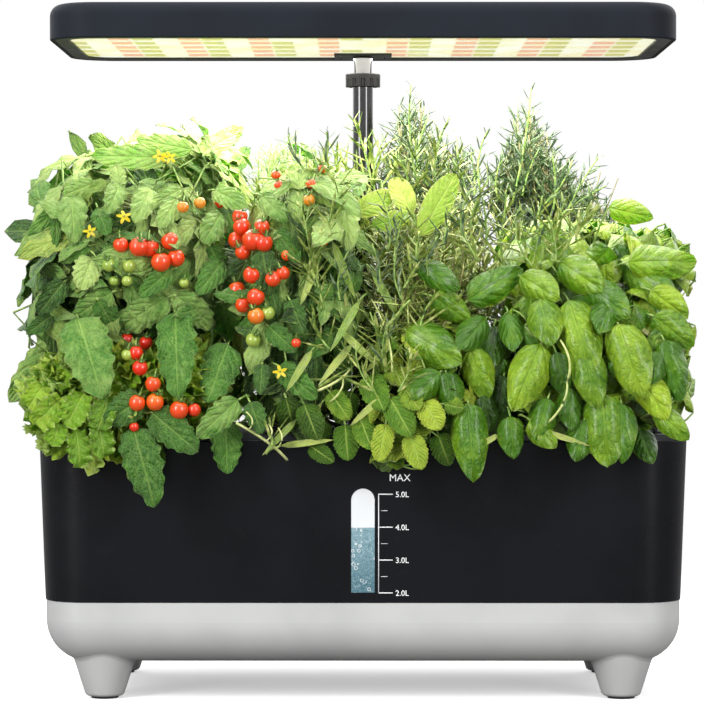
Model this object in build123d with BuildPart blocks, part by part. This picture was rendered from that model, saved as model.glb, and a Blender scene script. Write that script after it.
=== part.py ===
from build123d import *
import os
from math import atan, degrees, hypot

# Countertop hydroponic garden, in millimetres. The origin is the centre of the footprint on the
# surface it stands on. +Z is up, and -Y is the front, where the level window is.

# ---------------------------------------------------------------------------------------------
# Driving dimensions
# ---------------------------------------------------------------------------------------------

# Tank: a light grey tub in a dark outer sleeve, both leaning out from the seam to the rim.
TANK_WIDTH = 360.0
TANK_DEPTH = 184.0
RIM_HEIGHT = 148.0
SEAM_HEIGHT = 55.4
LEAN = 3.4
CORNER_RADIUS = 29.0
SLEEVE_WALL = 2.2
SLEEVE_GAP = 0.4
SLEEVE_EDGE = 0.6
TUB_WALL = 2.6
TUB_FLOOR = 3.0
SEAM_STEP = 0.5
BELLY_HEIGHT = 21.1
BELLY_ROUND = 23.5
CAVITY_ROUND = 18.0
EDGE_SLACK = 0.5
OVERCUT = 1.0

# Feet, moulded with the tub, and their rubber pads.
FOOT_INSET_X = 36.0
FOOT_INSET_Y = 32.0
FOOT_TOP_RADIUS = 17.0
FOOT_BOTTOM_RADIUS = 10.5
FOOT_EDGE = 2.6
FOOT_BLEND = 4.0
PAD_RADIUS = 7.6
PAD_HEIGHT = 1.2

# Level window in the front wall, and what it shows.
WINDOW_WIDTH = 13.2
WINDOW_RISE = 5.6
WINDOW_DROP = 29.5
WINDOW_FIT = 0.15
WINDOW_SET_BACK = 0.3
WINDOW_FLANGE = 3.0
FLANGE_FIT = 0.1
FLANGE_THICKNESS = 1.0
SEAL_THICKNESS = 0.9
GAUGE_DEPTH = 5.2
GAUGE_BACK_WALL = 2.6
GAUGE_SIDE_WALL = 6.4
BOSS_MARGIN = 0.6
PORT_RADIUS = 2.0
PORT_X = 1.6
PORT_RISE = 7.5
PORT_DROP = 2.8
WATER_DROP = 2.0
WATER_GAP = 0.3

# Grow deck, twelve pods in four columns and three rows.
DECK_LIP = 3.2
DECK_LIP_ROUND = 1.2
DECK_LAND = 8.0
DECK_PLATE = 3.2
DECK_FIT = 0.5
RIM_GROOVE = 0.4
PAN_DROP = 3.0
POD_MARGIN_X = 36.0
POD_MARGIN_Y = 17.0
BASKET_RADIUS = 15.1
BASKET_FOOT_RADIUS = 11.0
BASKET_DEPTH = 46.0
BASKET_WALL = 1.4
BASKET_FLANGE = 3.9
BASKET_FLANGE_HEIGHT = 2.0
BASKET_FIT = 0.4
BASKET_SLOTS = 6
BASKET_SLOT_WIDTH = 3.2
BASKET_SLOT_HEIGHT = 30.0
BASKET_DRAIN_RADIUS = 4.0
SPONGE_GAP = 0.3
SPONGE_HEIGHT = 36.0
STEM_RADIUS = 3.0
STEM_GAP = 0.3
STEM_DEPTH = 14.0

# Fill lid at the right end of the deck, hinged on its outer edge.
FILL_INSET = 17.0
FILL_WIDTH = 25.0
FILL_LENGTH = 52.0
LID_LAP = 4.0
LID_THICKNESS = 2.4
LID_EDGE = 0.5
HINGE_INSET = 12.0
HINGE_RISE = 3.2
KNUCKLE_RADIUS = 2.5
HINGE_PIN_RADIUS = 1.2
HINGE_FIT = 0.05
KNUCKLE_GAP = 0.4
DECK_KNUCKLE_HALF = 11.6
LID_KNUCKLE_LENGTH = 12.6
END_KNUCKLE_LENGTH = 5.0
LID_PULL_RISE = 1.8
LID_PULL_INSET = 1.5
LID_PULL_WIDTH = 2.2
LID_PULL_LENGTH = 16.0
LID_VENT_INSET = 10.0
LID_VENT_RADIUS = 1.2
LID_VENT_PITCH = 7.0
LID_VENTS = 5

# Telescopic pole at the rear centre.
POLE_INSET = 31.0
LOWER_TUBE_RADIUS = 6.4
LOWER_TUBE_WALL = 0.7
LOWER_TUBE_DROP = 13.0
UPPER_TUBE_WALL = 0.8
TUBE_FIT = 0.1
UPPER_TUBE_RISE = 12.0
BUSH_LENGTH = 10.0
BUSH_FIT = 0.05
COLLAR_RADIUS = 10.35
COLLAR_DROP = 9.7
COLLAR_HEIGHT = 7.7
COLLAR_EDGE = 0.8
COLLAR_FLUTES = 12
COLLAR_FLUTE_RADIUS = 1.3
COLLAR_FLUTE_HEIGHT = 4.6
COLLAR_FLUTE_OUT = 0.4
COLLAR_SEAT_GAP = 0.1
SOCKET_FLANGE_RADIUS = 13.0
SOCKET_FLANGE_HEIGHT = 3.0
SOCKET_SPIGOT_RADIUS = 9.7
SOCKET_SPIGOT_FIT = 0.3
SOCKET_SPIGOT_DEPTH = 25.0
SOCKET_FLOOR = 4.0
SOCKET_NECK_RADIUS = 9.0
SOCKET_NECK_HEIGHT = 12.0
SOCKET_EDGE = 1.0
LEAD_RADIUS = 4.2
LEAD_GAP = 0.3

# Lamp hood.
HOOD_MARGIN_X = 5.5
HOOD_MARGIN_Y = 8.0
HOOD_Y = 2.0
LAMP_RISE = 218.0
HOOD_HEIGHT = 20.0
HOOD_CORNER = 26.0
HOOD_WALL = 2.4
HOOD_EDGE = 6.5
HOOD_LOWER_EDGE = 0.8
BEZEL_GAP = 0.3
BEZEL_RISE = 0.2
BEZEL_WIDTH = 8.0
BEZEL_FLANGE = 1.2
BEZEL_HEIGHT = 3.8
BEZEL_REBATE = 2.0
DIFFUSER_THICKNESS = 1.6
DIFFUSER_GAP = 0.3
LED_BOARD_RISE = 5.0
LED_BOARD_THICKNESS = 1.6
LED_BOARD_MARGIN = 2.0
LED_COLUMNS = 24
LED_ROWS = 5
LED_EDGE_X = 25.0
LED_EDGE_Y = 28.0
LED_CYCLE = 6
LED_SIZE = 5.0
LED_HEIGHT = 1.4
BRACKET_HALF_WIDTH = 13.0
BRACKET_REACH = 13.0
BRACKET_WALL_GAP = 0.3
BRACKET_BORE_DEPTH = 12.0
BRACKET_FIT = 0.05
BRACKET_LEAD_RADIUS = 4.6
BRACKET_EDGE = 2.0
TONGUE_MARGIN = 4.0
POST_RADIUS = 3.0
POST_COLUMNS = 9
POST_ROWS = 1.5
SCREW_RADIUS = 1.4
SCREW_FIT = 0.1
SCREW_HEAD_RADIUS = 2.5
SCREW_HEAD_HEIGHT = 1.4
SCREW_LENGTH = 7.0
HOOD_SCREW_X = 110.0
SCREW_LINE_SHARE = 0.45

# Push buttons on the hood, over the control board.
BUTTON_PITCH = 22.0
BUTTON_INSET = 24.0
BUTTON_RADIUS = 5.6
BUTTON_FIT = 0.3
BUTTON_PROUD = 0.8
BUTTON_EDGE = 0.6
BUTTON_FLANGE = 1.4
BUTTON_FLANGE_HEIGHT = 1.0
BUTTON_STEM_RADIUS = 2.0
BUTTON_TRAVEL = 1.0
BUTTON_CLEAR = 0.2
SWITCH_SIZE = 6.0
SWITCH_HEIGHT = 1.8
BOARD_WIDTH = 90.0
BOARD_DEPTH = 22.0
BOARD_THICKNESS = 1.6
BOARD_GAP = 0.6
BOARD_POST_X = 38.0

# Circulation pump on the tank floor, and the low-voltage inlet in the rear wall.
PUMP_INSET = 46.0
PUMP_WIDTH = 38.0
PUMP_FRONT = -14.0
PUMP_DEPTH = 30.0
PUMP_HEIGHT = 28.0
PUMP_FOOT_HEIGHT = 4.9
PUMP_FOOT_RADIUS = 5.0
PUMP_FOOT_TAPER = 14.0
PUMP_EDGE = 2.0
CHAMBER_RADIUS = 9.4
CHAMBER_DEPTH = 10.0
IMPELLER_RADIUS = 8.0
IMPELLER_HUB_RADIUS = 3.2
IMPELLER_LENGTH = 7.6
IMPELLER_START = 1.0
IMPELLER_BLADES = 6
BLADE_THICKNESS = 1.2
IMPELLER_SHAFT_RADIUS = 1.2
IMPELLER_SHAFT_LENGTH = 9.0
IMPELLER_FIT = 0.05
COVER_THICKNESS = 3.0
COVER_SLOTS = 5
COVER_SLOT_WIDTH = 1.8
COVER_SLOT_PITCH = 4.4
COVER_SLOT_HEIGHT = 18.0
OUTLET_RADIUS = 5.0
OUTLET_WALL = 1.2
OUTLET_HEIGHT = 24.0
OUTLET_Y = 8.0
PUMP_LEAD_RADIUS = 2.2
PUMP_LEAD_INSET = 33.0
PUMP_LEAD_Y = 10.0
INLET_DROP = 20.0
INLET_PROUD = 0.4
INLET_RADIUS = 5.5
INLET_FIT = 0.3
INLET_FLANGE_RADIUS = 7.5
INLET_FLANGE = 2.0
INLET_DEPTH = 12.0
JACK_RADIUS = 2.85
JACK_DEPTH = 9.5
JACK_PIN_RADIUS = 1.0
LEAD_BEND_SHARE = 0.45

# Plants: how far the canopies reach past the tank, and the air left between two of them.
OVERHANG_X = 10.0
OVERHANG_Y = 20.0
PLANT_GAP = 4.0
CANOPY_CORNER = 0.34
FRUIT_BURY = 0.25

# ---------------------------------------------------------------------------------------------
# Worked-out sizes and shared shapes
# ---------------------------------------------------------------------------------------------

slope = LEAN / (RIM_HEIGHT - SEAM_HEIGHT)
slope_length = hypot(1.0, slope)
sleeve_top = RIM_HEIGHT - DECK_LIP - RIM_GROOVE
deck_seat = RIM_HEIGHT - DECK_LIP
tub_inset = SLEEVE_WALL + SLEEVE_GAP
cavity_inset = tub_inset + TUB_WALL
cavity_floor = BELLY_HEIGHT + TUB_FLOOR
pan_height = RIM_HEIGHT - PAN_DROP
deck_under = pan_height - DECK_PLATE
basket_foot = pan_height - BASKET_DEPTH
water_level = basket_foot - WATER_DROP
window_bottom = SEAM_HEIGHT + WINDOW_RISE
window_top = RIM_HEIGHT - WINDOW_DROP
port_heights = (window_bottom + PORT_RISE, water_level - PORT_DROP)
inlet_height = RIM_HEIGHT - INLET_DROP
pump_x = PUMP_INSET - TANK_WIDTH / 2
pump_lead_x = PUMP_LEAD_INSET - TANK_WIDTH / 2
hinge_x = TANK_WIDTH / 2 - HINGE_INSET
fill_right = TANK_WIDTH / 2 - FILL_INSET
fill_left = fill_right - FILL_WIDTH
pole_place = (0, TANK_DEPTH / 2 - POLE_INSET)
hood_width = TANK_WIDTH - 2 * HOOD_MARGIN_X
hood_depth = TANK_DEPTH - 2 * HOOD_MARGIN_Y
hood_bottom = RIM_HEIGHT + LAMP_RISE
hood_top = hood_bottom + HOOD_HEIGHT

column_pitch = (TANK_WIDTH - 2 * POD_MARGIN_X) / 4
row_pitch = (TANK_DEPTH - 2 * POD_MARGIN_Y) / 3
column_places = [(column - 1.5) * column_pitch for column in range(4)]
row_places = [(row - 1) * row_pitch for row in range(3)]
pod_places = [(x, y) for y in row_places for x in column_places]

# Planes on the leaning front face, with x to the right and y up along the face.
front_face = Plane(
    origin=(0, LEAN - TANK_DEPTH / 2, SEAM_HEIGHT), x_dir=(1, 0, 0), z_dir=(0, -1, -slope)
)


def outline(height, inset):
    """Width, depth and corner radius of the leaning outline at a height, less an inset."""
    lean = (RIM_HEIGHT - height) * slope
    reach = 2 * (lean + inset)
    return TANK_WIDTH - reach, TANK_DEPTH - reach, CORNER_RADIUS - lean - inset


def leaning_block(low, high, inset):
    """The block between two heights whose sides follow the leaning outline."""
    with BuildPart() as block:
        with BuildSketch(Plane.XY.offset(low)):
            RectangleRounded(*outline(low, inset))
        with BuildSketch(Plane.XY.offset(high)):
            RectangleRounded(*outline(high, inset))
        loft(ruled=True)
    return block.part


def up_face(height):
    """Distance up the leaning front face, from the seam to a height."""
    return (height - SEAM_HEIGHT) * slope_length


def gauge_shape(extra, depth):
    """The level window's arched outline, grown by extra, at a depth behind the front face."""
    half = WINDOW_WIDTH / 2
    low = up_face(window_bottom) - extra
    arch = up_face(window_top) - half
    with BuildSketch(front_face.offset(-depth)) as shape:
        with Locations((0, (low + arch) / 2)):
            Rectangle(WINDOW_WIDTH + 2 * extra, arch - low)
        with Locations((0, arch)):
            Circle(half + extra)
    return shape.sketch


def write(piece, label):
    """Name one finished piece and write its STEP file."""
    piece.label = label
    export_step(piece, f"parts/{label}.step")


os.makedirs("parts", exist_ok=True)

# ---------------------------------------------------------------------------------------------
# Reservoir: the tub with its visible belly, four feet and the sight gauge in its front wall
# ---------------------------------------------------------------------------------------------

flange_front = SLEEVE_WALL + FLANGE_FIT
seal_front = flange_front + FLANGE_THICKNESS
rebate_depth = seal_front + SEAL_THICKNESS
gauge_back = rebate_depth + GAUGE_DEPTH
boss_depth = gauge_back + GAUGE_BACK_WALL
boss_width = WINDOW_WIDTH + 2 * GAUGE_SIDE_WALL
boss_low = up_face(window_bottom) - WINDOW_FLANGE - BOSS_MARGIN
boss_high = up_face(window_top) + GAUGE_SIDE_WALL

foot_x = TANK_WIDTH / 2 - FOOT_INSET_X
foot_y = TANK_DEPTH / 2 - FOOT_INSET_Y
foot_places = [(x, y) for x in (-foot_x, foot_x) for y in (-foot_y, foot_y)]
belly_width, belly_depth, belly_corner = outline(SEAM_HEIGHT, SEAM_STEP)
cavity_width, cavity_depth, cavity_corner = outline(SEAM_HEIGHT, cavity_inset)

with BuildPart() as cavity:
    with BuildSketch(Plane.XY.offset(cavity_floor)):
        RectangleRounded(cavity_width, cavity_depth, cavity_corner)
    extrude(amount=SEAM_HEIGHT - cavity_floor)
    fillet(cavity.edges().group_by(Axis.Z)[0], radius=CAVITY_ROUND)
    add(leaning_block(SEAM_HEIGHT, RIM_HEIGHT, cavity_inset))

with BuildPart() as reservoir:
    with BuildSketch(Plane.XY.offset(BELLY_HEIGHT)):
        RectangleRounded(belly_width, belly_depth, belly_corner)
    extrude(amount=SEAM_HEIGHT - BELLY_HEIGHT)
    fillet(reservoir.edges().group_by(Axis.Z)[0], radius=BELLY_ROUND)
    # Each foot is a cone that runs up into the belly, blended where they meet.
    foot_rise = BELLY_HEIGHT - PAD_HEIGHT
    foot_flare = (FOOT_TOP_RADIUS - FOOT_BOTTOM_RADIUS) / foot_rise
    foot_top = BELLY_HEIGHT + BELLY_ROUND / 2
    with BuildSketch(Plane.XY.offset(PAD_HEIGHT)):
        with Locations(*foot_places):
            Circle(FOOT_BOTTOM_RADIUS)
    foot_taper = -degrees(atan(foot_flare))
    extrude(amount=foot_top - PAD_HEIGHT, taper=foot_taper)
    fillet(reservoir.edges().group_by(Axis.Z)[0], radius=FOOT_EDGE)
    cones = reservoir.faces().filter_by(GeomType.CONE)
    blend_from = BELLY_HEIGHT - EDGE_SLACK
    blend_edges = [edge for edge in cones.edges() if edge.bounding_box().min.Z > blend_from]
    fillet(blend_edges, radius=FOOT_BLEND)
    add(leaning_block(SEAM_HEIGHT, deck_seat, tub_inset))
    add(cavity.part, mode=Mode.SUBTRACT)
    # Boss on the inside of the front wall, then the window's rebate, the gauge and its ports.
    with BuildSketch(front_face.offset(-tub_inset - TUB_WALL / 2)):
        with Locations((0, (boss_low + boss_high) / 2)):
            Rectangle(boss_width, boss_high - boss_low)
    extrude(amount=tub_inset + TUB_WALL / 2 - boss_depth)
    extrude(
        gauge_shape(WINDOW_FLANGE + WINDOW_FIT, 0), amount=-rebate_depth, mode=Mode.SUBTRACT
    )
    extrude(gauge_shape(0, 0), amount=-gauge_back, mode=Mode.SUBTRACT)
    with BuildSketch(front_face.offset(-gauge_back)):
        with Locations(*[(PORT_X, up_face(height)) for height in port_heights]):
            Circle(PORT_RADIUS)
    extrude(amount=-2 * GAUGE_BACK_WALL, mode=Mode.SUBTRACT)
    # Hole for the inlet in the rear wall.
    with BuildSketch(Plane.XZ.offset(-TANK_DEPTH / 2)):
        with Locations((pump_lead_x, inlet_height)):
            Circle(INLET_RADIUS + INLET_FIT)
    extrude(amount=INLET_DEPTH, mode=Mode.SUBTRACT)
write(reservoir.part, "reservoir")

with BuildPart() as foot_pads:
    with BuildSketch():
        with Locations(*foot_places):
            Circle(PAD_RADIUS)
    extrude(amount=PAD_HEIGHT)
write(foot_pads.part, "foot_pads")

# ---------------------------------------------------------------------------------------------
# Outer sleeve with its window slot
# ---------------------------------------------------------------------------------------------

with BuildPart() as outer_sleeve:
    add(leaning_block(SEAM_HEIGHT, sleeve_top, 0))
    outer_edges = outer_sleeve.edges().group_by(Axis.Z)
    fillet(outer_edges[0] + outer_edges[-1], radius=SLEEVE_EDGE)
    add(leaning_block(SEAM_HEIGHT - OVERCUT, RIM_HEIGHT, SLEEVE_WALL), mode=Mode.SUBTRACT)
    extrude(gauge_shape(0, -OVERCUT), amount=-tub_inset - OVERCUT, mode=Mode.SUBTRACT)
    with BuildSketch(Plane.XZ.offset(-TANK_DEPTH / 2 - OVERCUT)):
        with Locations((pump_lead_x, inlet_height)):
            Circle(INLET_RADIUS + INLET_FIT)
    extrude(amount=INLET_DEPTH, mode=Mode.SUBTRACT)
write(outer_sleeve.part, "outer_sleeve")

# ---------------------------------------------------------------------------------------------
# Level window, its seal and the water behind it
# ---------------------------------------------------------------------------------------------

with BuildPart() as level_window:
    extrude(gauge_shape(-WINDOW_FIT, WINDOW_SET_BACK), amount=WINDOW_SET_BACK - seal_front)
    extrude(gauge_shape(WINDOW_FLANGE, flange_front), amount=-FLANGE_THICKNESS)
write(level_window.part, "level_window")

with BuildPart() as window_seal:
    extrude(gauge_shape(WINDOW_FLANGE, seal_front), amount=-SEAL_THICKNESS)
    seal_cut = SEAL_THICKNESS + 2 * OVERCUT
    extrude(gauge_shape(WINDOW_FIT, seal_front - OVERCUT), amount=-seal_cut, mode=Mode.SUBTRACT)
write(window_seal.part, "window_seal")

pump_low = cavity_floor + PUMP_FOOT_HEIGHT
pump_top = pump_low + PUMP_HEIGHT
pump_mid_y = PUMP_FRONT + PUMP_DEPTH / 2
water_inset = cavity_inset + WATER_GAP
water_width, water_depth, water_corner = outline(SEAM_HEIGHT, water_inset)
column_low = up_face(window_bottom) + WATER_GAP
column_high = up_face(water_level)

with BuildPart() as water:
    with BuildSketch(Plane.XY.offset(cavity_floor + WATER_GAP)):
        RectangleRounded(water_width, water_depth, water_corner)
    extrude(amount=SEAM_HEIGHT - cavity_floor - WATER_GAP)
    fillet(water.edges().group_by(Axis.Z)[0], radius=CAVITY_ROUND)
    add(leaning_block(SEAM_HEIGHT, water_level, water_inset))
    # Room for the gauge boss, the pump, its outlet and its lead.
    with BuildSketch(front_face.offset(-tub_inset)):
        with Locations((0, (boss_low + boss_high) / 2)):
            Rectangle(boss_width + 2 * WATER_GAP, boss_high - boss_low + 2 * WATER_GAP)
    extrude(amount=tub_inset - boss_depth - WATER_GAP, mode=Mode.SUBTRACT)
    with BuildSketch(Plane.XY.offset(cavity_floor)):
        with Locations((pump_x, pump_mid_y - COVER_THICKNESS / 2)):
            Rectangle(PUMP_WIDTH + 2 * OVERCUT, PUMP_DEPTH + COVER_THICKNESS + 2 * OVERCUT)
    extrude(amount=pump_top + WATER_GAP - cavity_floor, mode=Mode.SUBTRACT)
    with BuildSketch(Plane.XY.offset(cavity_floor)):
        with Locations((pump_x, OUTLET_Y)):
            Circle(OUTLET_RADIUS + WATER_GAP)
        with Locations((pump_lead_x, PUMP_LEAD_Y)):
            Circle(PUMP_LEAD_RADIUS + WATER_GAP)
    extrude(amount=water_level, mode=Mode.SUBTRACT)
    # The column in the gauge and the water in its two ports.
    with BuildSketch(front_face.offset(-seal_front - WATER_GAP)):
        with Locations((0, (column_low + column_high) / 2)):
            Rectangle(WINDOW_WIDTH - 2 * WATER_GAP, column_high - column_low)
    extrude(amount=seal_front + 2 * WATER_GAP - gauge_back)
    with BuildSketch(front_face.offset(-gauge_back + OVERCUT)):
        with Locations(*[(PORT_X, up_face(height)) for height in port_heights]):
            Circle(PORT_RADIUS - WATER_GAP)
    extrude(amount=-GAUGE_BACK_WALL - 2 * OVERCUT)
write(water.part, "water")

# ---------------------------------------------------------------------------------------------
# Grow deck
# ---------------------------------------------------------------------------------------------

fill_mid = (fill_left + fill_right) / 2
lid_left = fill_left - LID_LAP
lid_half_length = FILL_LENGTH / 2 + LID_LAP
hinge_height = pan_height + HINGE_RISE
lid_knuckle_near = DECK_KNUCKLE_HALF + KNUCKLE_GAP
lid_knuckle_far = lid_knuckle_near + LID_KNUCKLE_LENGTH
end_knuckle_near = lid_knuckle_far + KNUCKLE_GAP
end_knuckle_far = end_knuckle_near + END_KNUCKLE_LENGTH
deck_knuckles = [
    (-end_knuckle_far, -end_knuckle_near),
    (-DECK_KNUCKLE_HALF, DECK_KNUCKLE_HALF),
    (end_knuckle_near, end_knuckle_far),
]
lid_knuckles = [(-lid_knuckle_far, -lid_knuckle_near), (lid_knuckle_near, lid_knuckle_far)]

with BuildPart() as grow_deck:
    with BuildSketch(Plane.XY.offset(deck_seat)):
        RectangleRounded(TANK_WIDTH, TANK_DEPTH, CORNER_RADIUS)
    extrude(amount=DECK_LIP)
    fillet(grow_deck.edges().group_by(Axis.Z)[-1], radius=DECK_LIP_ROUND)
    add(leaning_block(deck_under, deck_seat + RIM_GROOVE, cavity_inset + DECK_FIT))
    with BuildSketch(Plane.XY.offset(pan_height)):
        RectangleRounded(*outline(RIM_HEIGHT, DECK_LAND))
    extrude(amount=PAN_DROP + OVERCUT, mode=Mode.SUBTRACT)
    # Deck knuckles of the lid's hinge.
    for near, far in deck_knuckles:
        with BuildSketch(Plane.XZ.offset(-far)):
            with Locations((hinge_x, hinge_height)):
                Circle(KNUCKLE_RADIUS)
            with Locations((hinge_x, (pan_height - OVERCUT + hinge_height) / 2)):
                Rectangle(2 * KNUCKLE_RADIUS, hinge_height - pan_height + OVERCUT)
        extrude(amount=far - near)
    with BuildSketch(Plane.XZ.offset(-end_knuckle_far)):
        with Locations((hinge_x, hinge_height)):
            Circle(HINGE_PIN_RADIUS + HINGE_FIT)
    extrude(amount=2 * end_knuckle_far, mode=Mode.SUBTRACT)
    # Pod holes, the pole's hole and the fill opening.
    with BuildSketch(Plane.XY.offset(deck_under)):
        with Locations(*pod_places):
            Circle(BASKET_RADIUS + BASKET_FIT)
        with Locations(pole_place):
            Circle(SOCKET_SPIGOT_RADIUS + SOCKET_SPIGOT_FIT)
        with Locations((fill_mid, 0)):
            RectangleRounded(fill_right - fill_left, FILL_LENGTH, LID_LAP)
    extrude(amount=DECK_PLATE, mode=Mode.SUBTRACT)
write(grow_deck.part, "grow_deck")

# ---------------------------------------------------------------------------------------------
# Grow baskets and sponges
# ---------------------------------------------------------------------------------------------

flange_radius = BASKET_RADIUS + BASKET_FLANGE
flange_top = pan_height + BASKET_FLANGE_HEIGHT
wall_slope = (BASKET_RADIUS - BASKET_FOOT_RADIUS) / BASKET_DEPTH

with BuildPart() as basket:
    with BuildSketch(Plane.XZ):
        with BuildLine():
            Polyline(
                (0, basket_foot),
                (BASKET_FOOT_RADIUS, basket_foot),
                (BASKET_RADIUS, pan_height),
                (flange_radius, pan_height),
                (flange_radius, flange_top),
                (BASKET_RADIUS - BASKET_WALL, flange_top),
                (BASKET_RADIUS - BASKET_WALL, pan_height),
                (BASKET_FOOT_RADIUS - BASKET_WALL, basket_foot + BASKET_WALL),
                (0, basket_foot + BASKET_WALL),
                close=True,
            )
        make_face()
    revolve(axis=Axis.Z)
    with BuildSketch(Plane.XY.offset(basket_foot + (BASKET_DEPTH - BASKET_SLOT_HEIGHT) / 2)):
        with PolarLocations(BASKET_RADIUS, BASKET_SLOTS):
            Rectangle(2 * (BASKET_RADIUS - BASKET_FOOT_RADIUS + BASKET_WALL), BASKET_SLOT_WIDTH)
    extrude(amount=BASKET_SLOT_HEIGHT, mode=Mode.SUBTRACT)
    with BuildSketch(Plane.XY.offset(basket_foot)):
        Circle(BASKET_DRAIN_RADIUS)
    extrude(amount=BASKET_WALL, mode=Mode.SUBTRACT)

for number, place in enumerate(pod_places, start=1):
    with BuildPart() as placed_basket:
        with Locations(place):
            add(basket.part)
    write(placed_basket.part, f"grow_basket_{number:02d}")

# A sponge plug fills the upper part of each basket, with a hole for the plant's stem.
sponge_top = flange_top - SPONGE_GAP
sponge_foot = pan_height - SPONGE_HEIGHT
sponge_top_radius = BASKET_RADIUS - BASKET_WALL - SPONGE_GAP
sponge_foot_radius = sponge_top_radius - wall_slope * SPONGE_HEIGHT
stem_foot = sponge_top - STEM_DEPTH

with BuildPart() as sponge:
    with BuildSketch(Plane.XZ):
        with BuildLine():
            Polyline(
                (0, sponge_foot),
                (sponge_foot_radius, sponge_foot),
                (sponge_top_radius, pan_height),
                (sponge_top_radius, sponge_top),
                (STEM_RADIUS + STEM_GAP, sponge_top),
                (STEM_RADIUS + STEM_GAP, stem_foot - STEM_GAP),
                (0, stem_foot - STEM_GAP),
                close=True,
            )
        make_face()
    revolve(axis=Axis.Z)

with BuildPart() as grow_sponges:
    with Locations(*pod_places):
        add(sponge.part)
write(grow_sponges.part, "grow_sponges")

# ---------------------------------------------------------------------------------------------
# Plants: a stem in its sponge and a canopy lofted through tiers. A tier is a height over the rim
# and how far the canopy reaches there to the left, right, front and back. A fruit is a place
# across from its stem, as a share of the column pitch, a height over the rim and a radius.
# Neighbours share the limits below.
# ---------------------------------------------------------------------------------------------

half_gap = PLANT_GAP / 2
left_edge = -column_pitch - half_gap
left_inner = -column_pitch + half_gap
centre_left = -half_gap
centre_right = half_gap
right_inner = column_pitch - half_gap
right_edge = column_pitch + half_gap
front_edge = -row_pitch / 2 - half_gap
middle_front = -row_pitch / 2 + half_gap
middle_back = row_pitch / 2 - half_gap
back_edge = row_pitch / 2 + half_gap
lid_side = lid_left - PLANT_GAP
lid_front = -end_knuckle_far - PLANT_GAP
lid_back = end_knuckle_far + PLANT_GAP
lid_sweep_rise = hinge_height + hinge_x - lid_left + PLANT_GAP - RIM_HEIGHT
pole_side = SOCKET_FLANGE_RADIUS + PLANT_GAP
hang_back = -TANK_DEPTH / 2 - half_gap
hang_front = -TANK_DEPTH / 2 - OVERHANG_Y
canopy_side = TANK_WIDTH / 2 + OVERHANG_X
canopy_back = TANK_DEPTH / 2 + OVERHANG_Y


def canopy(tiers):
    """A closed canopy through its tiers, each a rounded rectangle at its height."""
    with BuildPart() as leaves:
        for height, left, right, front, back in tiers:
            width = right - left
            depth = back - front
            with BuildSketch(Plane.XY.offset(RIM_HEIGHT + height)):
                with Locations(((left + right) / 2, (front + back) / 2)):
                    RectangleRounded(width, depth, CANOPY_CORNER * min(width, depth))
        loft(ruled=True)
    return leaves.part


def front_of(tiers, x, height):
    """Where the front of a canopy stands, at a place across and a height."""
    low, high = next(pair for pair in zip(tiers, tiers[1:]) if pair[1][0] >= height)
    share = (height - low[0]) / (high[0] - low[0])
    left, right, front, back = [a + share * (b - a) for a, b in zip(low[1:], high[1:])]
    corner = CANOPY_CORNER * min(right - left, back - front)
    over = max(corner - min(x - left, right - x), 0)
    return front + corner - (corner**2 - over**2) ** 0.5


def plant(column, row, tiers, lobes=(), fruit=()):
    """A stem from its sponge into the lowest tier, with the canopy, hanging lobes and fruit."""
    seat_x = column_places[column]
    seat = (seat_x, row_places[row])
    with BuildPart() as body:
        with BuildSketch(Plane.XY.offset(stem_foot)):
            with Locations(seat):
                Circle(STEM_RADIUS)
        extrude(amount=RIM_HEIGHT + tiers[1][0] - stem_foot)
        add(canopy(tiers))
        for lobe in lobes:
            add(canopy(lobe))
        for share, height, radius in fruit:
            x = seat_x + share * column_pitch
            front = front_of(tiers, x, height) + FRUIT_BURY * radius
            with Locations((x, front, RIM_HEIGHT + height)):
                Sphere(radius)
    return body.part


lettuce_tiers = [
    (PLANT_GAP, -132, -88, -74, -32),
    (12, -170, left_edge, hang_front, front_edge),
    (32, -184, left_edge, hang_front, front_edge),
    (46, -170, left_edge - 6, -100, front_edge - 6),
    (52, -150, left_edge - 18, -84, front_edge - 14),
]
lettuce_lobes = [
    [
        (-29, -166, -146, hang_front + 4, hang_back - 4),
        (-16, -172, -130, hang_front, hang_back),
        (22, -176, -110, hang_front, hang_back),
    ]
]
write(plant(0, 0, lettuce_tiers, lettuce_lobes), "lettuce_plant")

tomato_front_tiers = [
    (PLANT_GAP, -52, -20, -74, -32),
    (17, left_inner, centre_left, -106, front_edge),
    (77, left_inner, centre_left, -104, front_edge),
    (122, left_inner, centre_left - 4, -92, front_edge),
    (148, left_inner + 8, centre_left - 14, -76, front_edge - 6),
]
tomato_front_lobes = [
    [
        (-20, -66, -52, hang_front + 4, hang_back - 4),
        (-8, left_inner, -46, hang_front, hang_back),
        (27, left_inner, -40, hang_front, hang_back),
    ]
]
tomato_front_fruit = [
    (-0.375, 108, 5.0),
    (-0.285, 97, 5.0),
    (-0.375, 89, 4.2),
    (-0.236, 88, 4.5),
    (-0.347, 80, 4.8),
    (-0.194, 74, 4.5),
    (-0.306, 66, 5.0),
    (-0.111, 83, 4.0),
    (0.167, 104, 4.0),
    (-0.028, 52, 4.0),
]
write(
    plant(1, 0, tomato_front_tiers, tomato_front_lobes, tomato_front_fruit),
    "tomato_plant_front",
)

mint_tiers = [
    (PLANT_GAP, 20, 52, -74, -32),
    (14, centre_right, right_inner, hang_front, front_edge),
    (47, centre_right, right_inner, -108, front_edge),
    (64, centre_right + 10, right_inner - 8, -92, front_edge - 8),
]
mint_lobes = [
    [
        (-20, 8, 26, hang_front + 4, hang_back - 4),
        (-8, centre_right, 36, hang_front, hang_back),
        (24, centre_right, 44, hang_front, hang_back),
    ]
]
write(plant(2, 0, mint_tiers, mint_lobes), "mint_plant")

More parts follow.
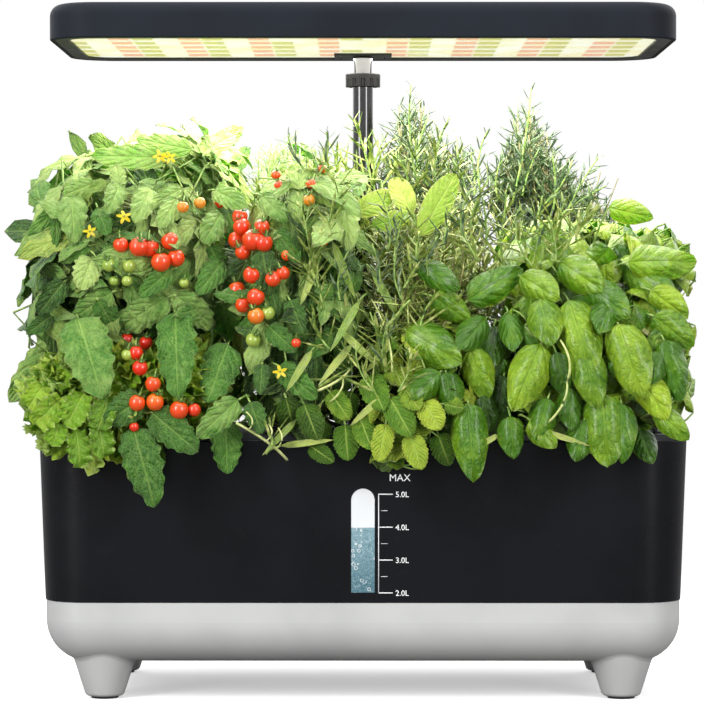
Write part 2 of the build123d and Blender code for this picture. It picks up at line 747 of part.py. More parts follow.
basil_front_tiers = [
    (PLANT_GAP, 90, 126, -76, lid_front),
    (12, right_edge, 182, hang_front, lid_front),
    (57, right_edge, 184, hang_front, lid_front),
    (84, right_edge + 6, 170, -98, lid_front),
]
basil_front_lobes = [
    [
        (-24, right_edge + 4, 92, hang_front + 4, hang_back - 4),
        (-8, right_edge, 112, hang_front, hang_back),
        (24, right_edge, 150, hang_front, hang_back),
    ]
]
write(plant(3, 0, basil_front_tiers, basil_front_lobes), "basil_plant_front")

tomato_left_tiers = [
    (PLANT_GAP, -126, -90, -18, 18),
    (18, -180, left_edge, middle_front, middle_back),
    (56, -canopy_side, left_edge, middle_front, middle_back),
    (66, -canopy_side, left_edge, -100, middle_back),
    (122, -182, left_edge, -92, middle_back),
    (158, -158, left_edge - 8, -60, middle_back),
    (169, -130, left_edge - 24, -30, middle_back - 8),
]
tomato_left_fruit = [
    (-0.375, 104, 4.5),
    (-0.222, 102, 5.5),
    (-0.069, 106, 5.5),
    (-0.139, 92, 5.5),
    (0.014, 95, 5.0),
    (0.125, 122, 4.0),
    (0.278, 126, 4.5),
    (-0.403, 91, 4.0),
    (-0.278, 82, 4.0),
    (-0.167, 72, 4.5),
]
write(plant(0, 1, tomato_left_tiers, fruit=tomato_left_fruit), "tomato_plant_left")

tarragon_tiers = [
    (PLANT_GAP, -52, -20, -18, 18),
    (18, left_inner, centre_left, middle_front, middle_back),
    (112, left_inner, centre_left, middle_front, middle_back),
    (156, left_inner + 14, centre_left - 14, middle_front + 6, middle_back - 6),
]
write(plant(1, 1, tarragon_tiers), "tarragon_plant")

thyme_tiers = [
    (PLANT_GAP, 20, 52, -18, 18),
    (18, centre_right, right_inner, middle_front, middle_back),
    (66, centre_right, right_inner, middle_front, middle_back),
    (74, centre_right, right_inner, -100, middle_back),
    (114, centre_right, right_inner, -84, middle_back),
    (138, centre_right + 12, right_inner - 12, -50, middle_back - 6),
]
write(plant(2, 1, thyme_tiers), "thyme_plant")

basil_middle_tiers = [
    (PLANT_GAP, 90, 124, -16, 16),
    (18, right_edge, lid_side, middle_front, middle_back),
    (lid_sweep_rise, right_edge, lid_side, middle_front, middle_back),
    (lid_sweep_rise + 6, right_edge, 182, middle_front, middle_back),
    (88, right_edge, canopy_side, middle_front, middle_back),
    (92, right_edge, canopy_side, -96, middle_back),
    (110, right_edge, 178, -84, middle_back),
    (118, right_edge + 14, 150, -50, middle_back - 6),
]
write(plant(3, 1, basil_middle_tiers), "basil_plant_middle")

tomato_rear_tiers = [
    (PLANT_GAP, -126, -90, 34, 70),
    (18, -180, left_edge, back_edge, canopy_back),
    (122, -184, left_edge, back_edge, canopy_back),
    (158, -160, left_edge, back_edge, 96),
    (170, -130, left_edge - 16, back_edge + 8, 80),
]
write(plant(0, 2, tomato_rear_tiers), "tomato_plant_rear")

dill_tiers = [
    (PLANT_GAP, -50, -22, 36, 66),
    (22, left_inner, -pole_side, back_edge, canopy_back),
    (132, left_inner, -pole_side, back_edge, canopy_back),
    (170, left_inner + 8, -pole_side - 8, back_edge + 8, 92),
]
write(plant(1, 2, dill_tiers), "dill_plant")

rosemary_centre_tiers = [
    (PLANT_GAP, 22, 50, 36, 66),
    (32, pole_side, right_inner, back_edge, canopy_back),
    (132, pole_side, right_inner, back_edge, canopy_back),
    (164, pole_side, right_inner - 8, back_edge + 6, 92),
    (194, 22, 36, 46, 60),
]
write(plant(2, 2, rosemary_centre_tiers), "rosemary_plant_centre")

rosemary_right_tiers = [
    (PLANT_GAP, 90, 126, lid_back + 2, 70),
    (32, right_edge, 166, lid_back, canopy_back - 4),
    (96, right_edge, 168, lid_back, canopy_back),
    (126, right_edge, 152, lid_back, canopy_back - 10),
    (156, right_edge + 6, 124, lid_back + 4, 86),
    (192, 90, 103, 52, 64),
]
write(plant(3, 2, rosemary_right_tiers), "rosemary_plant_right")

# ---------------------------------------------------------------------------------------------
# Fill lid and its hinge pin
# ---------------------------------------------------------------------------------------------

lid_right = hinge_x - KNUCKLE_RADIUS - KNUCKLE_GAP
lid_mid = (lid_left + lid_right) / 2
lid_top = pan_height + LID_THICKNESS

with BuildPart() as fill_lid:
    with BuildSketch(Plane.XY.offset(pan_height)):
        with Locations((lid_mid, 0)):
            RectangleRounded(lid_right - lid_left, 2 * lid_half_length, LID_LAP)
        with Locations((lid_left + LID_VENT_INSET, 0)):
            with GridLocations(0, LID_VENT_PITCH, 1, LID_VENTS):
                Circle(LID_VENT_RADIUS, mode=Mode.SUBTRACT)
    extrude(amount=LID_THICKNESS)
    fillet(fill_lid.edges().group_by(Axis.Z)[-1], radius=LID_EDGE)
    with BuildSketch(Plane.XY.offset(lid_top)):
        with Locations((lid_left + LID_PULL_INSET, 0)):
            Rectangle(LID_PULL_WIDTH, LID_PULL_LENGTH)
    extrude(amount=LID_PULL_RISE)
    for near, far in lid_knuckles:
        with BuildSketch(Plane.XZ.offset(-far)):
            with Locations((hinge_x, hinge_height)):
                Circle(KNUCKLE_RADIUS)
            with Locations(((lid_right - OVERCUT + hinge_x) / 2, lid_top - LID_THICKNESS / 4)):
                Rectangle(hinge_x - lid_right + OVERCUT, LID_THICKNESS / 2)
        extrude(amount=far - near)
    with BuildSketch(Plane.XZ.offset(-lid_knuckle_far - OVERCUT)):
        with Locations((hinge_x, hinge_height)):
            Circle(HINGE_PIN_RADIUS + HINGE_FIT)
    extrude(amount=2 * (lid_knuckle_far + OVERCUT), mode=Mode.SUBTRACT)
write(fill_lid.part, "fill_lid")

with BuildPart() as fill_lid_pin:
    with BuildSketch(Plane.XZ.offset(-end_knuckle_far)):
        with Locations((hinge_x, hinge_height)):
            Circle(HINGE_PIN_RADIUS)
    extrude(amount=2 * end_knuckle_far)
write(fill_lid_pin.part, "fill_lid_pin")

# ---------------------------------------------------------------------------------------------
# Circulation pump: body, intake cover, impeller, suction feet, outlet and lead
# ---------------------------------------------------------------------------------------------

pump_axis_height = pump_low + PUMP_HEIGHT / 2
pump_front_plane = Plane.XZ.offset(-PUMP_FRONT)
pump_feet = GridLocations(
    PUMP_WIDTH - 3 * PUMP_FOOT_RADIUS, PUMP_DEPTH - 3 * PUMP_FOOT_RADIUS, 2, 2
)
pump_feet_places = [
    (pump_x + spot.position.X, pump_mid_y + spot.position.Y) for spot in pump_feet
]

with BuildPart() as pump_body:
    with BuildSketch(Plane.XY.offset(pump_low)):
        with Locations((pump_x, pump_mid_y)):
            RectangleRounded(PUMP_WIDTH, PUMP_DEPTH, PUMP_EDGE)
    extrude(amount=PUMP_HEIGHT)
    with BuildSketch(pump_front_plane):
        with Locations((pump_x, pump_axis_height)):
            Circle(CHAMBER_RADIUS)
    extrude(amount=-CHAMBER_DEPTH, mode=Mode.SUBTRACT)
    with BuildSketch(pump_front_plane):
        with Locations((pump_x, pump_axis_height)):
            Circle(IMPELLER_SHAFT_RADIUS + IMPELLER_FIT)
    extrude(amount=-CHAMBER_DEPTH - IMPELLER_SHAFT_LENGTH - OVERCUT, mode=Mode.SUBTRACT)
    with BuildSketch(Plane.XY.offset(pump_top)):
        with Locations((pump_x, OUTLET_Y)):
            Circle(OUTLET_RADIUS - OUTLET_WALL)
    extrude(amount=-PUMP_HEIGHT / 4, mode=Mode.SUBTRACT)
write(pump_body.part, "pump_body")

with BuildPart() as pump_cover:
    with BuildSketch(pump_front_plane):
        with Locations((pump_x, pump_axis_height)):
            RectangleRounded(PUMP_WIDTH, PUMP_HEIGHT, PUMP_EDGE)
            with GridLocations(COVER_SLOT_PITCH, 0, COVER_SLOTS, 1):
                Rectangle(COVER_SLOT_WIDTH, COVER_SLOT_HEIGHT, mode=Mode.SUBTRACT)
    extrude(amount=COVER_THICKNESS)
write(pump_cover.part, "pump_cover")

with BuildPart() as pump_impeller:
    with BuildSketch(pump_front_plane.offset(-IMPELLER_START)):
        with Locations((pump_x, pump_axis_height)):
            Circle(IMPELLER_HUB_RADIUS)
            with PolarLocations(IMPELLER_RADIUS / 2, IMPELLER_BLADES):
                Rectangle(IMPELLER_RADIUS, BLADE_THICKNESS)
    extrude(amount=-IMPELLER_LENGTH)
    with BuildSketch(pump_front_plane.offset(-IMPELLER_START - IMPELLER_LENGTH)):
        with Locations((pump_x, pump_axis_height)):
            Circle(IMPELLER_SHAFT_RADIUS)
    extrude(amount=-IMPELLER_SHAFT_LENGTH)
write(pump_impeller.part, "pump_impeller")

with BuildPart() as pump_suction_feet:
    with BuildSketch(Plane.XY.offset(cavity_floor)):
        with Locations(*pump_feet_places):
            Circle(PUMP_FOOT_RADIUS)
    extrude(amount=PUMP_FOOT_HEIGHT, taper=PUMP_FOOT_TAPER)
write(pump_suction_feet.part, "pump_suction_feet")

with BuildPart() as pump_outlet:
    with BuildSketch(Plane.XY.offset(pump_top)):
        with Locations((pump_x, OUTLET_Y)):
            Circle(OUTLET_RADIUS)
            Circle(OUTLET_RADIUS - OUTLET_WALL, mode=Mode.SUBTRACT)
    extrude(amount=OUTLET_HEIGHT)
write(pump_outlet.part, "pump_outlet")

inlet_face = TANK_DEPTH / 2 - INLET_DROP * slope + INLET_PROUD
inlet_inner = inlet_face - INLET_DEPTH
lead_rise = inlet_height - pump_top
lead_run = inlet_inner - PUMP_LEAD_Y
lead_bend = LEAD_BEND_SHARE * min(lead_rise, lead_run)

with BuildPart() as pump_lead:
    with BuildLine() as lead_route:
        FilletPolyline(
            (pump_lead_x, PUMP_LEAD_Y, pump_top),
            (pump_lead_x, PUMP_LEAD_Y, inlet_height),
            (pump_lead_x, inlet_inner, inlet_height),
            radius=lead_bend,
        )
    with BuildSketch(Plane.XY.offset(pump_top)):
        with Locations((pump_lead_x, PUMP_LEAD_Y)):
            Circle(PUMP_LEAD_RADIUS)
    sweep(path=lead_route.wires()[0])
write(pump_lead.part, "pump_lead")

with BuildPart() as dc_inlet:
    with BuildSketch(Plane.XZ.offset(-inlet_inner)):
        with Locations((pump_lead_x, inlet_height)):
            Circle(INLET_RADIUS)
    extrude(amount=-INLET_DEPTH)
    with BuildSketch(Plane.XZ.offset(-inlet_face)):
        with Locations((pump_lead_x, inlet_height)):
            Circle(INLET_FLANGE_RADIUS)
    extrude(amount=-INLET_FLANGE)
    with BuildSketch(Plane.XZ.offset(-inlet_face - INLET_FLANGE)):
        with Locations((pump_lead_x, inlet_height)):
            Circle(JACK_RADIUS)
            Circle(JACK_PIN_RADIUS, mode=Mode.SUBTRACT)
    extrude(amount=JACK_DEPTH, mode=Mode.SUBTRACT)
write(dc_inlet.part, "dc_inlet")

# ---------------------------------------------------------------------------------------------
# Pole: socket in the deck, lower tube, twist collar, upper tube with its bush, and the lead
# ---------------------------------------------------------------------------------------------

lower_bore = LOWER_TUBE_RADIUS - LOWER_TUBE_WALL
upper_radius = lower_bore - TUBE_FIT
upper_bore = upper_radius - UPPER_TUBE_WALL
socket_bottom = pan_height - SOCKET_SPIGOT_DEPTH
tube_foot = socket_bottom + SOCKET_FLOOR
upper_tube_bottom = RIM_HEIGHT + UPPER_TUBE_RISE
upper_tube_top = hood_bottom + BRACKET_BORE_DEPTH
lower_tube_top = hood_bottom - LOWER_TUBE_DROP
collar_top = hood_bottom - COLLAR_DROP
collar_bottom = collar_top - COLLAR_HEIGHT

with BuildPart() as pole_socket:
    with BuildSketch(Plane.XY.offset(socket_bottom)):
        with Locations(pole_place):
            Circle(SOCKET_SPIGOT_RADIUS)
    extrude(amount=SOCKET_SPIGOT_DEPTH)
    with BuildSketch(Plane.XY.offset(pan_height)):
        with Locations(pole_place):
            Circle(SOCKET_FLANGE_RADIUS)
    extrude(amount=SOCKET_FLANGE_HEIGHT)
    with BuildSketch(Plane.XY.offset(pan_height + SOCKET_FLANGE_HEIGHT)):
        with Locations(pole_place):
            Circle(SOCKET_NECK_RADIUS)
    extrude(amount=SOCKET_NECK_HEIGHT)
    fillet(pole_socket.edges().group_by(Axis.Z)[-1], radius=SOCKET_EDGE)
    with BuildSketch(Plane.XY.offset(tube_foot)):
        with Locations(pole_place):
            Circle(LOWER_TUBE_RADIUS + BRACKET_FIT)
    extrude(amount=2 * SOCKET_SPIGOT_DEPTH, mode=Mode.SUBTRACT)
write(pole_socket.part, "pole_socket")

with BuildPart() as pole_lower_tube:
    with BuildSketch(Plane.XY.offset(tube_foot)):
        with Locations(pole_place):
            Circle(LOWER_TUBE_RADIUS)
            Circle(lower_bore, mode=Mode.SUBTRACT)
    extrude(amount=lower_tube_top - tube_foot)
write(pole_lower_tube.part, "pole_lower_tube")

with BuildPart() as lock_collar:
    with BuildSketch(Plane.XY.offset(collar_bottom)):
        with Locations(pole_place):
            Circle(COLLAR_RADIUS)
    extrude(amount=COLLAR_HEIGHT)
    fillet(lock_collar.edges().group_by(Axis.Z)[-1], radius=COLLAR_EDGE)
    with BuildSketch(Plane.XY.offset(collar_bottom)):
        with Locations(pole_place):
            with PolarLocations(COLLAR_RADIUS + COLLAR_FLUTE_OUT, COLLAR_FLUTES):
                Circle(COLLAR_FLUTE_RADIUS)
    extrude(amount=COLLAR_FLUTE_HEIGHT, mode=Mode.SUBTRACT)
    with BuildSketch(Plane.XY.offset(collar_bottom)):
        with Locations(pole_place):
            Circle(LOWER_TUBE_RADIUS + BRACKET_FIT)
    extrude(amount=lower_tube_top - collar_bottom + COLLAR_SEAT_GAP, mode=Mode.SUBTRACT)
    with BuildSketch(Plane.XY.offset(collar_bottom)):
        with Locations(pole_place):
            Circle(upper_radius + TUBE_FIT)
    extrude(amount=COLLAR_HEIGHT, mode=Mode.SUBTRACT)
write(lock_collar.part, "lock_collar")

with BuildPart() as pole_upper_tube:
    with BuildSketch(Plane.XY.offset(upper_tube_bottom)):
        with Locations(pole_place):
            Circle(upper_radius)
            Circle(upper_bore, mode=Mode.SUBTRACT)
    extrude(amount=upper_tube_top - upper_tube_bottom)
write(pole_upper_tube.part, "pole_upper_tube")

with BuildPart() as slide_bush:
    with BuildSketch(Plane.XY.offset(upper_tube_bottom - BUSH_LENGTH)):
        with Locations(pole_place):
            Circle(lower_bore - BUSH_FIT)
            Circle(upper_bore, mode=Mode.SUBTRACT)
    extrude(amount=BUSH_LENGTH)
write(slide_bush.part, "slide_bush")

with BuildPart() as lamp_lead:
    with BuildSketch(Plane.XY.offset(tube_foot + LEAD_GAP)):
        with Locations(pole_place):
            Circle(LEAD_RADIUS)
    extrude(amount=upper_tube_top - tube_foot - LEAD_GAP)
write(lamp_lead.part, "lamp_lead")

# ---------------------------------------------------------------------------------------------
# Lamp hood: shell, bezel, diffuser, LED board and chips, bracket, buttons and control board
# ---------------------------------------------------------------------------------------------

hood_inner_top = hood_top - HOOD_WALL
bezel_low = hood_bottom + BEZEL_RISE
bezel_inset = HOOD_WALL + BEZEL_GAP
opening_inset = bezel_inset + BEZEL_WIDTH
rebate_inset = opening_inset - BEZEL_REBATE
bezel_top = bezel_low + BEZEL_HEIGHT
diffuser_low = bezel_low + BEZEL_FLANGE
diffuser_top = diffuser_low + DIFFUSER_THICKNESS
board_low = diffuser_top + LED_BOARD_RISE
board_top = board_low + LED_BOARD_THICKNESS
led_pitch_x = (hood_width - 2 * LED_EDGE_X) / (LED_COLUMNS - 1)
led_pitch_y = (hood_depth - 2 * LED_EDGE_Y) / (LED_ROWS - 1)
post_x = POST_COLUMNS * led_pitch_x
post_y = POST_ROWS * led_pitch_y
button_y = HOOD_Y - hood_depth / 2 + BUTTON_INSET
bracket_front = pole_place[1] - BRACKET_REACH
bracket_back = HOOD_Y + hood_depth / 2 - HOOD_WALL - BRACKET_WALL_GAP
tongue_half_width = BRACKET_HALF_WIDTH + TONGUE_MARGIN
tongue_front = bracket_front - TONGUE_MARGIN
screw_line = bezel_inset + SCREW_LINE_SHARE * BEZEL_WIDTH
hood_screw_places = [
    (x, HOOD_Y + side * (hood_depth / 2 - screw_line))
    for x in (-HOOD_SCREW_X, HOOD_SCREW_X)
    for side in (-1, 1)
] + [(side * (hood_width / 2 - screw_line), HOOD_Y) for side in (-1, 1)]
board_post_places = [
    (x, HOOD_Y + y) for x in (-post_x, post_x) for y in (-post_y, post_y)
]
control_post_places = [(-BOARD_POST_X, button_y), (BOARD_POST_X, button_y)]
button_places = [(-BUTTON_PITCH, button_y), (0, button_y), (BUTTON_PITCH, button_y)]
screw_head_top = bezel_low + SCREW_HEAD_HEIGHT
hood_screw_tip = bezel_low + SCREW_LENGTH
board_screw_tip = board_low + SCREW_LENGTH - SCREW_HEAD_HEIGHT
control_low = board_top + BOARD_GAP
control_top = control_low + BOARD_THICKNESS


def hood_block(inset, low, high):
    """A block of the hood's outline, less an inset, between two heights."""
    with BuildPart() as block:
        with BuildSketch(Plane.XY.offset(low)):
            with Locations((0, HOOD_Y)):
                RectangleRounded(
                    hood_width - 2 * inset, hood_depth - 2 * inset, HOOD_CORNER - inset
                )
        extrude(amount=high - low)
    return block.part


def posts(places, radius, low, high):
    """Round posts at some places, between two heights."""
    with BuildPart() as group:
        with BuildSketch(Plane.XY.offset(low)):
            with Locations(*places):
                Circle(radius)
        extrude(amount=high - low)
    return group.part


def rear_block(half_width, front, low, high):
    """A block at the rear centre of the hood, from a front face to past the rear wall."""
    back = HOOD_Y + hood_depth / 2
    with BuildPart() as block:
        with BuildSketch(Plane.XY.offset(low)):
            with Locations((0, (front + back) / 2)):
                Rectangle(2 * half_width, back - front)
        extrude(amount=high - low)
    return block.part


with BuildPart() as hood_shell:
    add(hood_block(0, hood_bottom, hood_top))
    fillet(hood_shell.edges().group_by(Axis.Z)[-1], radius=HOOD_EDGE)
    fillet(hood_shell.edges().group_by(Axis.Z)[0], radius=HOOD_LOWER_EDGE)
    add(hood_block(HOOD_WALL, hood_bottom - OVERCUT, hood_inner_top), mode=Mode.SUBTRACT)
    add(posts(hood_screw_places, POST_RADIUS, bezel_top, hood_inner_top + OVERCUT))
    add(posts(board_post_places, POST_RADIUS, board_top, hood_inner_top + OVERCUT))
    add(posts(control_post_places, POST_RADIUS, control_top, hood_inner_top + OVERCUT))
    add(
        posts(hood_screw_places, SCREW_RADIUS + SCREW_FIT, bezel_low, hood_screw_tip + OVERCUT),
        mode=Mode.SUBTRACT,
    )
    add(
        posts(board_post_places, SCREW_RADIUS + SCREW_FIT, board_low, board_screw_tip + OVERCUT),
        mode=Mode.SUBTRACT,
    )
    button_hole_low = hood_inner_top - OVERCUT
    add(
        posts(button_places, BUTTON_RADIUS + BUTTON_FIT, button_hole_low, hood_top + OVERCUT),
        mode=Mode.SUBTRACT,
    )
write(hood_shell.part, "hood_shell")

bezel_cut_low = bezel_low - OVERCUT
bezel_cut_top = bezel_top + OVERCUT
bracket_room = rear_block(
    BRACKET_HALF_WIDTH + BEZEL_GAP, bracket_front - BEZEL_GAP, bezel_cut_low, bezel_cut_top
)

with BuildPart() as hood_bezel:
    add(hood_block(bezel_inset, bezel_low, bezel_top))
    add(hood_block(opening_inset, bezel_cut_low, bezel_cut_top), mode=Mode.SUBTRACT)
    add(hood_block(rebate_inset, diffuser_low, bezel_cut_top), mode=Mode.SUBTRACT)
    # The tongue that carries the bezel round the pole bracket, trimmed to the bezel's outline.
    tongue = rear_block(tongue_half_width, tongue_front, bezel_low, diffuser_low)
    add(tongue.intersect(hood_block(bezel_inset, bezel_low, bezel_top)))
    add(bracket_room, mode=Mode.SUBTRACT)
    add(
        posts(hood_screw_places, SCREW_RADIUS + SCREW_FIT, bezel_cut_low, bezel_cut_top),
        mode=Mode.SUBTRACT,
    )
    add(
        posts(hood_screw_places, SCREW_HEAD_RADIUS + SCREW_FIT, bezel_cut_low, screw_head_top),
        mode=Mode.SUBTRACT,
    )
write(hood_bezel.part, "hood_bezel")

with BuildPart() as led_diffuser:
    add(hood_block(rebate_inset + DIFFUSER_GAP, diffuser_low, diffuser_top))
    add(bracket_room, mode=Mode.SUBTRACT)
write(led_diffuser.part, "led_diffuser")

with BuildPart() as led_board:
    add(hood_block(opening_inset + LED_BOARD_MARGIN, board_low, board_top))
    board_cut_low = board_low - OVERCUT
    board_cut_top = board_top + OVERCUT
    add(
        rear_block(tongue_half_width, tongue_front, board_cut_low, board_cut_top),
        mode=Mode.SUBTRACT,
    )
    add(
        posts(board_post_places, SCREW_RADIUS + SCREW_FIT, board_cut_low, board_cut_top),
        mode=Mode.SUBTRACT,
    )
write(led_board.part, "led_board")

# Chips in a grid, except round the pole bracket. Two in a cycle are deep red or warm white.
chip_places = {"white": [], "red": [], "warm": []}
for column in range(LED_COLUMNS):
    for row in range(LED_ROWS):
        chip_x = (column - (LED_COLUMNS - 1) / 2) * led_pitch_x
        chip_y = HOOD_Y + (row - (LED_ROWS - 1) / 2) * led_pitch_y
        if abs(chip_x) < tongue_half_width + LED_SIZE and chip_y > tongue_front - LED_SIZE:
            continue
        turn = (column + 2 * row) % LED_CYCLE
        colour = {0: "red", LED_CYCLE // 2: "warm"}.get(turn, "white")
        chip_places[colour].append((chip_x, chip_y))

for colour, places in chip_places.items():
    with BuildPart() as chips:
        with BuildSketch(Plane.XY.offset(board_low - LED_HEIGHT)):
            with Locations(*places):
                Rectangle(LED_SIZE, LED_SIZE)
        extrude(amount=LED_HEIGHT)
    write(chips.part, f"led_chips_{colour}")

with BuildPart() as pole_bracket:
    with BuildSketch(Plane.XY.offset(bezel_low)):
        with Locations((0, (bracket_front + bracket_back) / 2)):
            Rectangle(2 * BRACKET_HALF_WIDTH, bracket_back - bracket_front)
    extrude(amount=hood_inner_top - bezel_low)
    fillet(pole_bracket.edges().filter_by(Axis.Z), radius=BRACKET_EDGE)
    with BuildSketch(Plane.XY.offset(bezel_low)):
        with Locations(pole_place):
            Circle(upper_radius + BRACKET_FIT)
    extrude(amount=upper_tube_top - bezel_low, mode=Mode.SUBTRACT)
    with BuildSketch(Plane.XY.offset(bezel_low)):
        with Locations(pole_place):
            Circle(BRACKET_LEAD_RADIUS)
    extrude(amount=hood_inner_top - bezel_low, mode=Mode.SUBTRACT)
write(pole_bracket.part, "pole_bracket")

with BuildPart() as hood_screws:
    add(posts(hood_screw_places, SCREW_HEAD_RADIUS, bezel_low, screw_head_top))
    add(posts(hood_screw_places, SCREW_RADIUS, screw_head_top, hood_screw_tip))
    add(
        posts(board_post_places, SCREW_HEAD_RADIUS, board_low - SCREW_HEAD_HEIGHT, board_low)
    )
    add(posts(board_post_places, SCREW_RADIUS, board_low, board_screw_tip))
write(hood_screws.part, "hood_screws")

with BuildPart() as control_board:
    with BuildSketch(Plane.XY.offset(control_low)):
        with Locations((0, button_y)):
            Rectangle(BOARD_WIDTH, BOARD_DEPTH)
    extrude(amount=BOARD_THICKNESS)
    with BuildSketch(Plane.XY.offset(control_top)):
        with Locations(*button_places):
            Rectangle(SWITCH_SIZE, SWITCH_SIZE)
    extrude(amount=SWITCH_HEIGHT)
write(control_board.part, "control_board")

switch_top = control_top + SWITCH_HEIGHT
button_flange_top = hood_inner_top - BUTTON_CLEAR
button_flange_low = button_flange_top - BUTTON_FLANGE_HEIGHT
button_foot = switch_top + BUTTON_TRAVEL + BUTTON_CLEAR
for place, name in zip(button_places, ("light_button", "pump_button", "timer_button")):
    with BuildPart() as button:
        add(posts([place], BUTTON_RADIUS, button_flange_low, hood_top + BUTTON_PROUD))
        fillet(button.edges().group_by(Axis.Z)[-1], radius=BUTTON_EDGE)
        add(
            posts([place], BUTTON_RADIUS + BUTTON_FLANGE, button_flange_low, button_flange_top)
        )
        add(posts([place], BUTTON_STEM_RADIUS, button_foot, button_flange_low))
    write(button.part, name)
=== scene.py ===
"""Looks of a countertop hydroponic garden: tank, telescopic grow lamp and twelve planted pods."""

import logging
import math
from collections.abc import Sequence
from dataclasses import dataclass, field, replace
from enum import Enum
from typing import Protocol

import bpy
import numpy as np
from mathutils import Matrix, Vector
from mathutils.bvhtree import BVHTree


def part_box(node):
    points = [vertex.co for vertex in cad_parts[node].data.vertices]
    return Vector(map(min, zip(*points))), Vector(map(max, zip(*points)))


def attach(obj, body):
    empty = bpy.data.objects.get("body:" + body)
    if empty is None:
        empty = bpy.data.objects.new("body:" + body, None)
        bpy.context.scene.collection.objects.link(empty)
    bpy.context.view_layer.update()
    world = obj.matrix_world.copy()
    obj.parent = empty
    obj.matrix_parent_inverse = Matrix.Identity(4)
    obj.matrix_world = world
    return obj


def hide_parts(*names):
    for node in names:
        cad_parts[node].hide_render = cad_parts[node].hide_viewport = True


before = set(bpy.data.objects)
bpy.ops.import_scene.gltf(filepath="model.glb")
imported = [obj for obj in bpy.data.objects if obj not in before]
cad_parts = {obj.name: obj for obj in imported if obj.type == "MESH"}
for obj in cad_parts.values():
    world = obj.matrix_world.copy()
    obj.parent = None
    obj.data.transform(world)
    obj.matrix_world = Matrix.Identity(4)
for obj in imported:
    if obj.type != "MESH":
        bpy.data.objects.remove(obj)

LOG = logging.getLogger("garden")
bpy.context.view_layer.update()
BASE = "garden_base"
RIM = 0.148  # Top of the tank.
SLOPE = 0.03672  # Lean of its front face.
POD_TOP = 0.1435  # Where stems leave a sponge.
TAU = 2 * math.pi
UP = np.array([0.0, 0.0, 1.0])

Array = np.ndarray
Chance = np.random.Generator
Material = bpy.types.Material
Mesh = bpy.types.Mesh
Piece = bpy.types.Object
Socket = bpy.types.NodeSocket
Colour = tuple[float, float, float, float]
Pair = tuple[float, float]
Point = tuple[float, float, float]
Shade = tuple[int, int, int]

WHITE: Colour = (1.0, 1.0, 1.0, 1.0)
PLACED: list[Piece] = []


def srgb(red: float, green: float, blue: float) -> Colour:
    """Turn a display colour into the linear colour that shaders use.

    Args:
        red: Red from 0 to 255.
        green: Green from 0 to 255.
        blue: Blue from 0 to 255.

    Returns:
        The linear colour with an alpha of 1.
    """
    parts = []
    for value in (red / 255, green / 255, blue / 255):
        parts.append(value / 12.92 if value <= 0.04045 else ((value + 0.055) / 1.055) ** 2.4)
    return (*parts, 1.0)


def unit(vectors: Array) -> Array:
    """Return the vectors scaled to a length of 1."""
    return vectors / np.maximum(np.linalg.norm(vectors, axis=-1, keepdims=True), 1e-12)


# Node trees


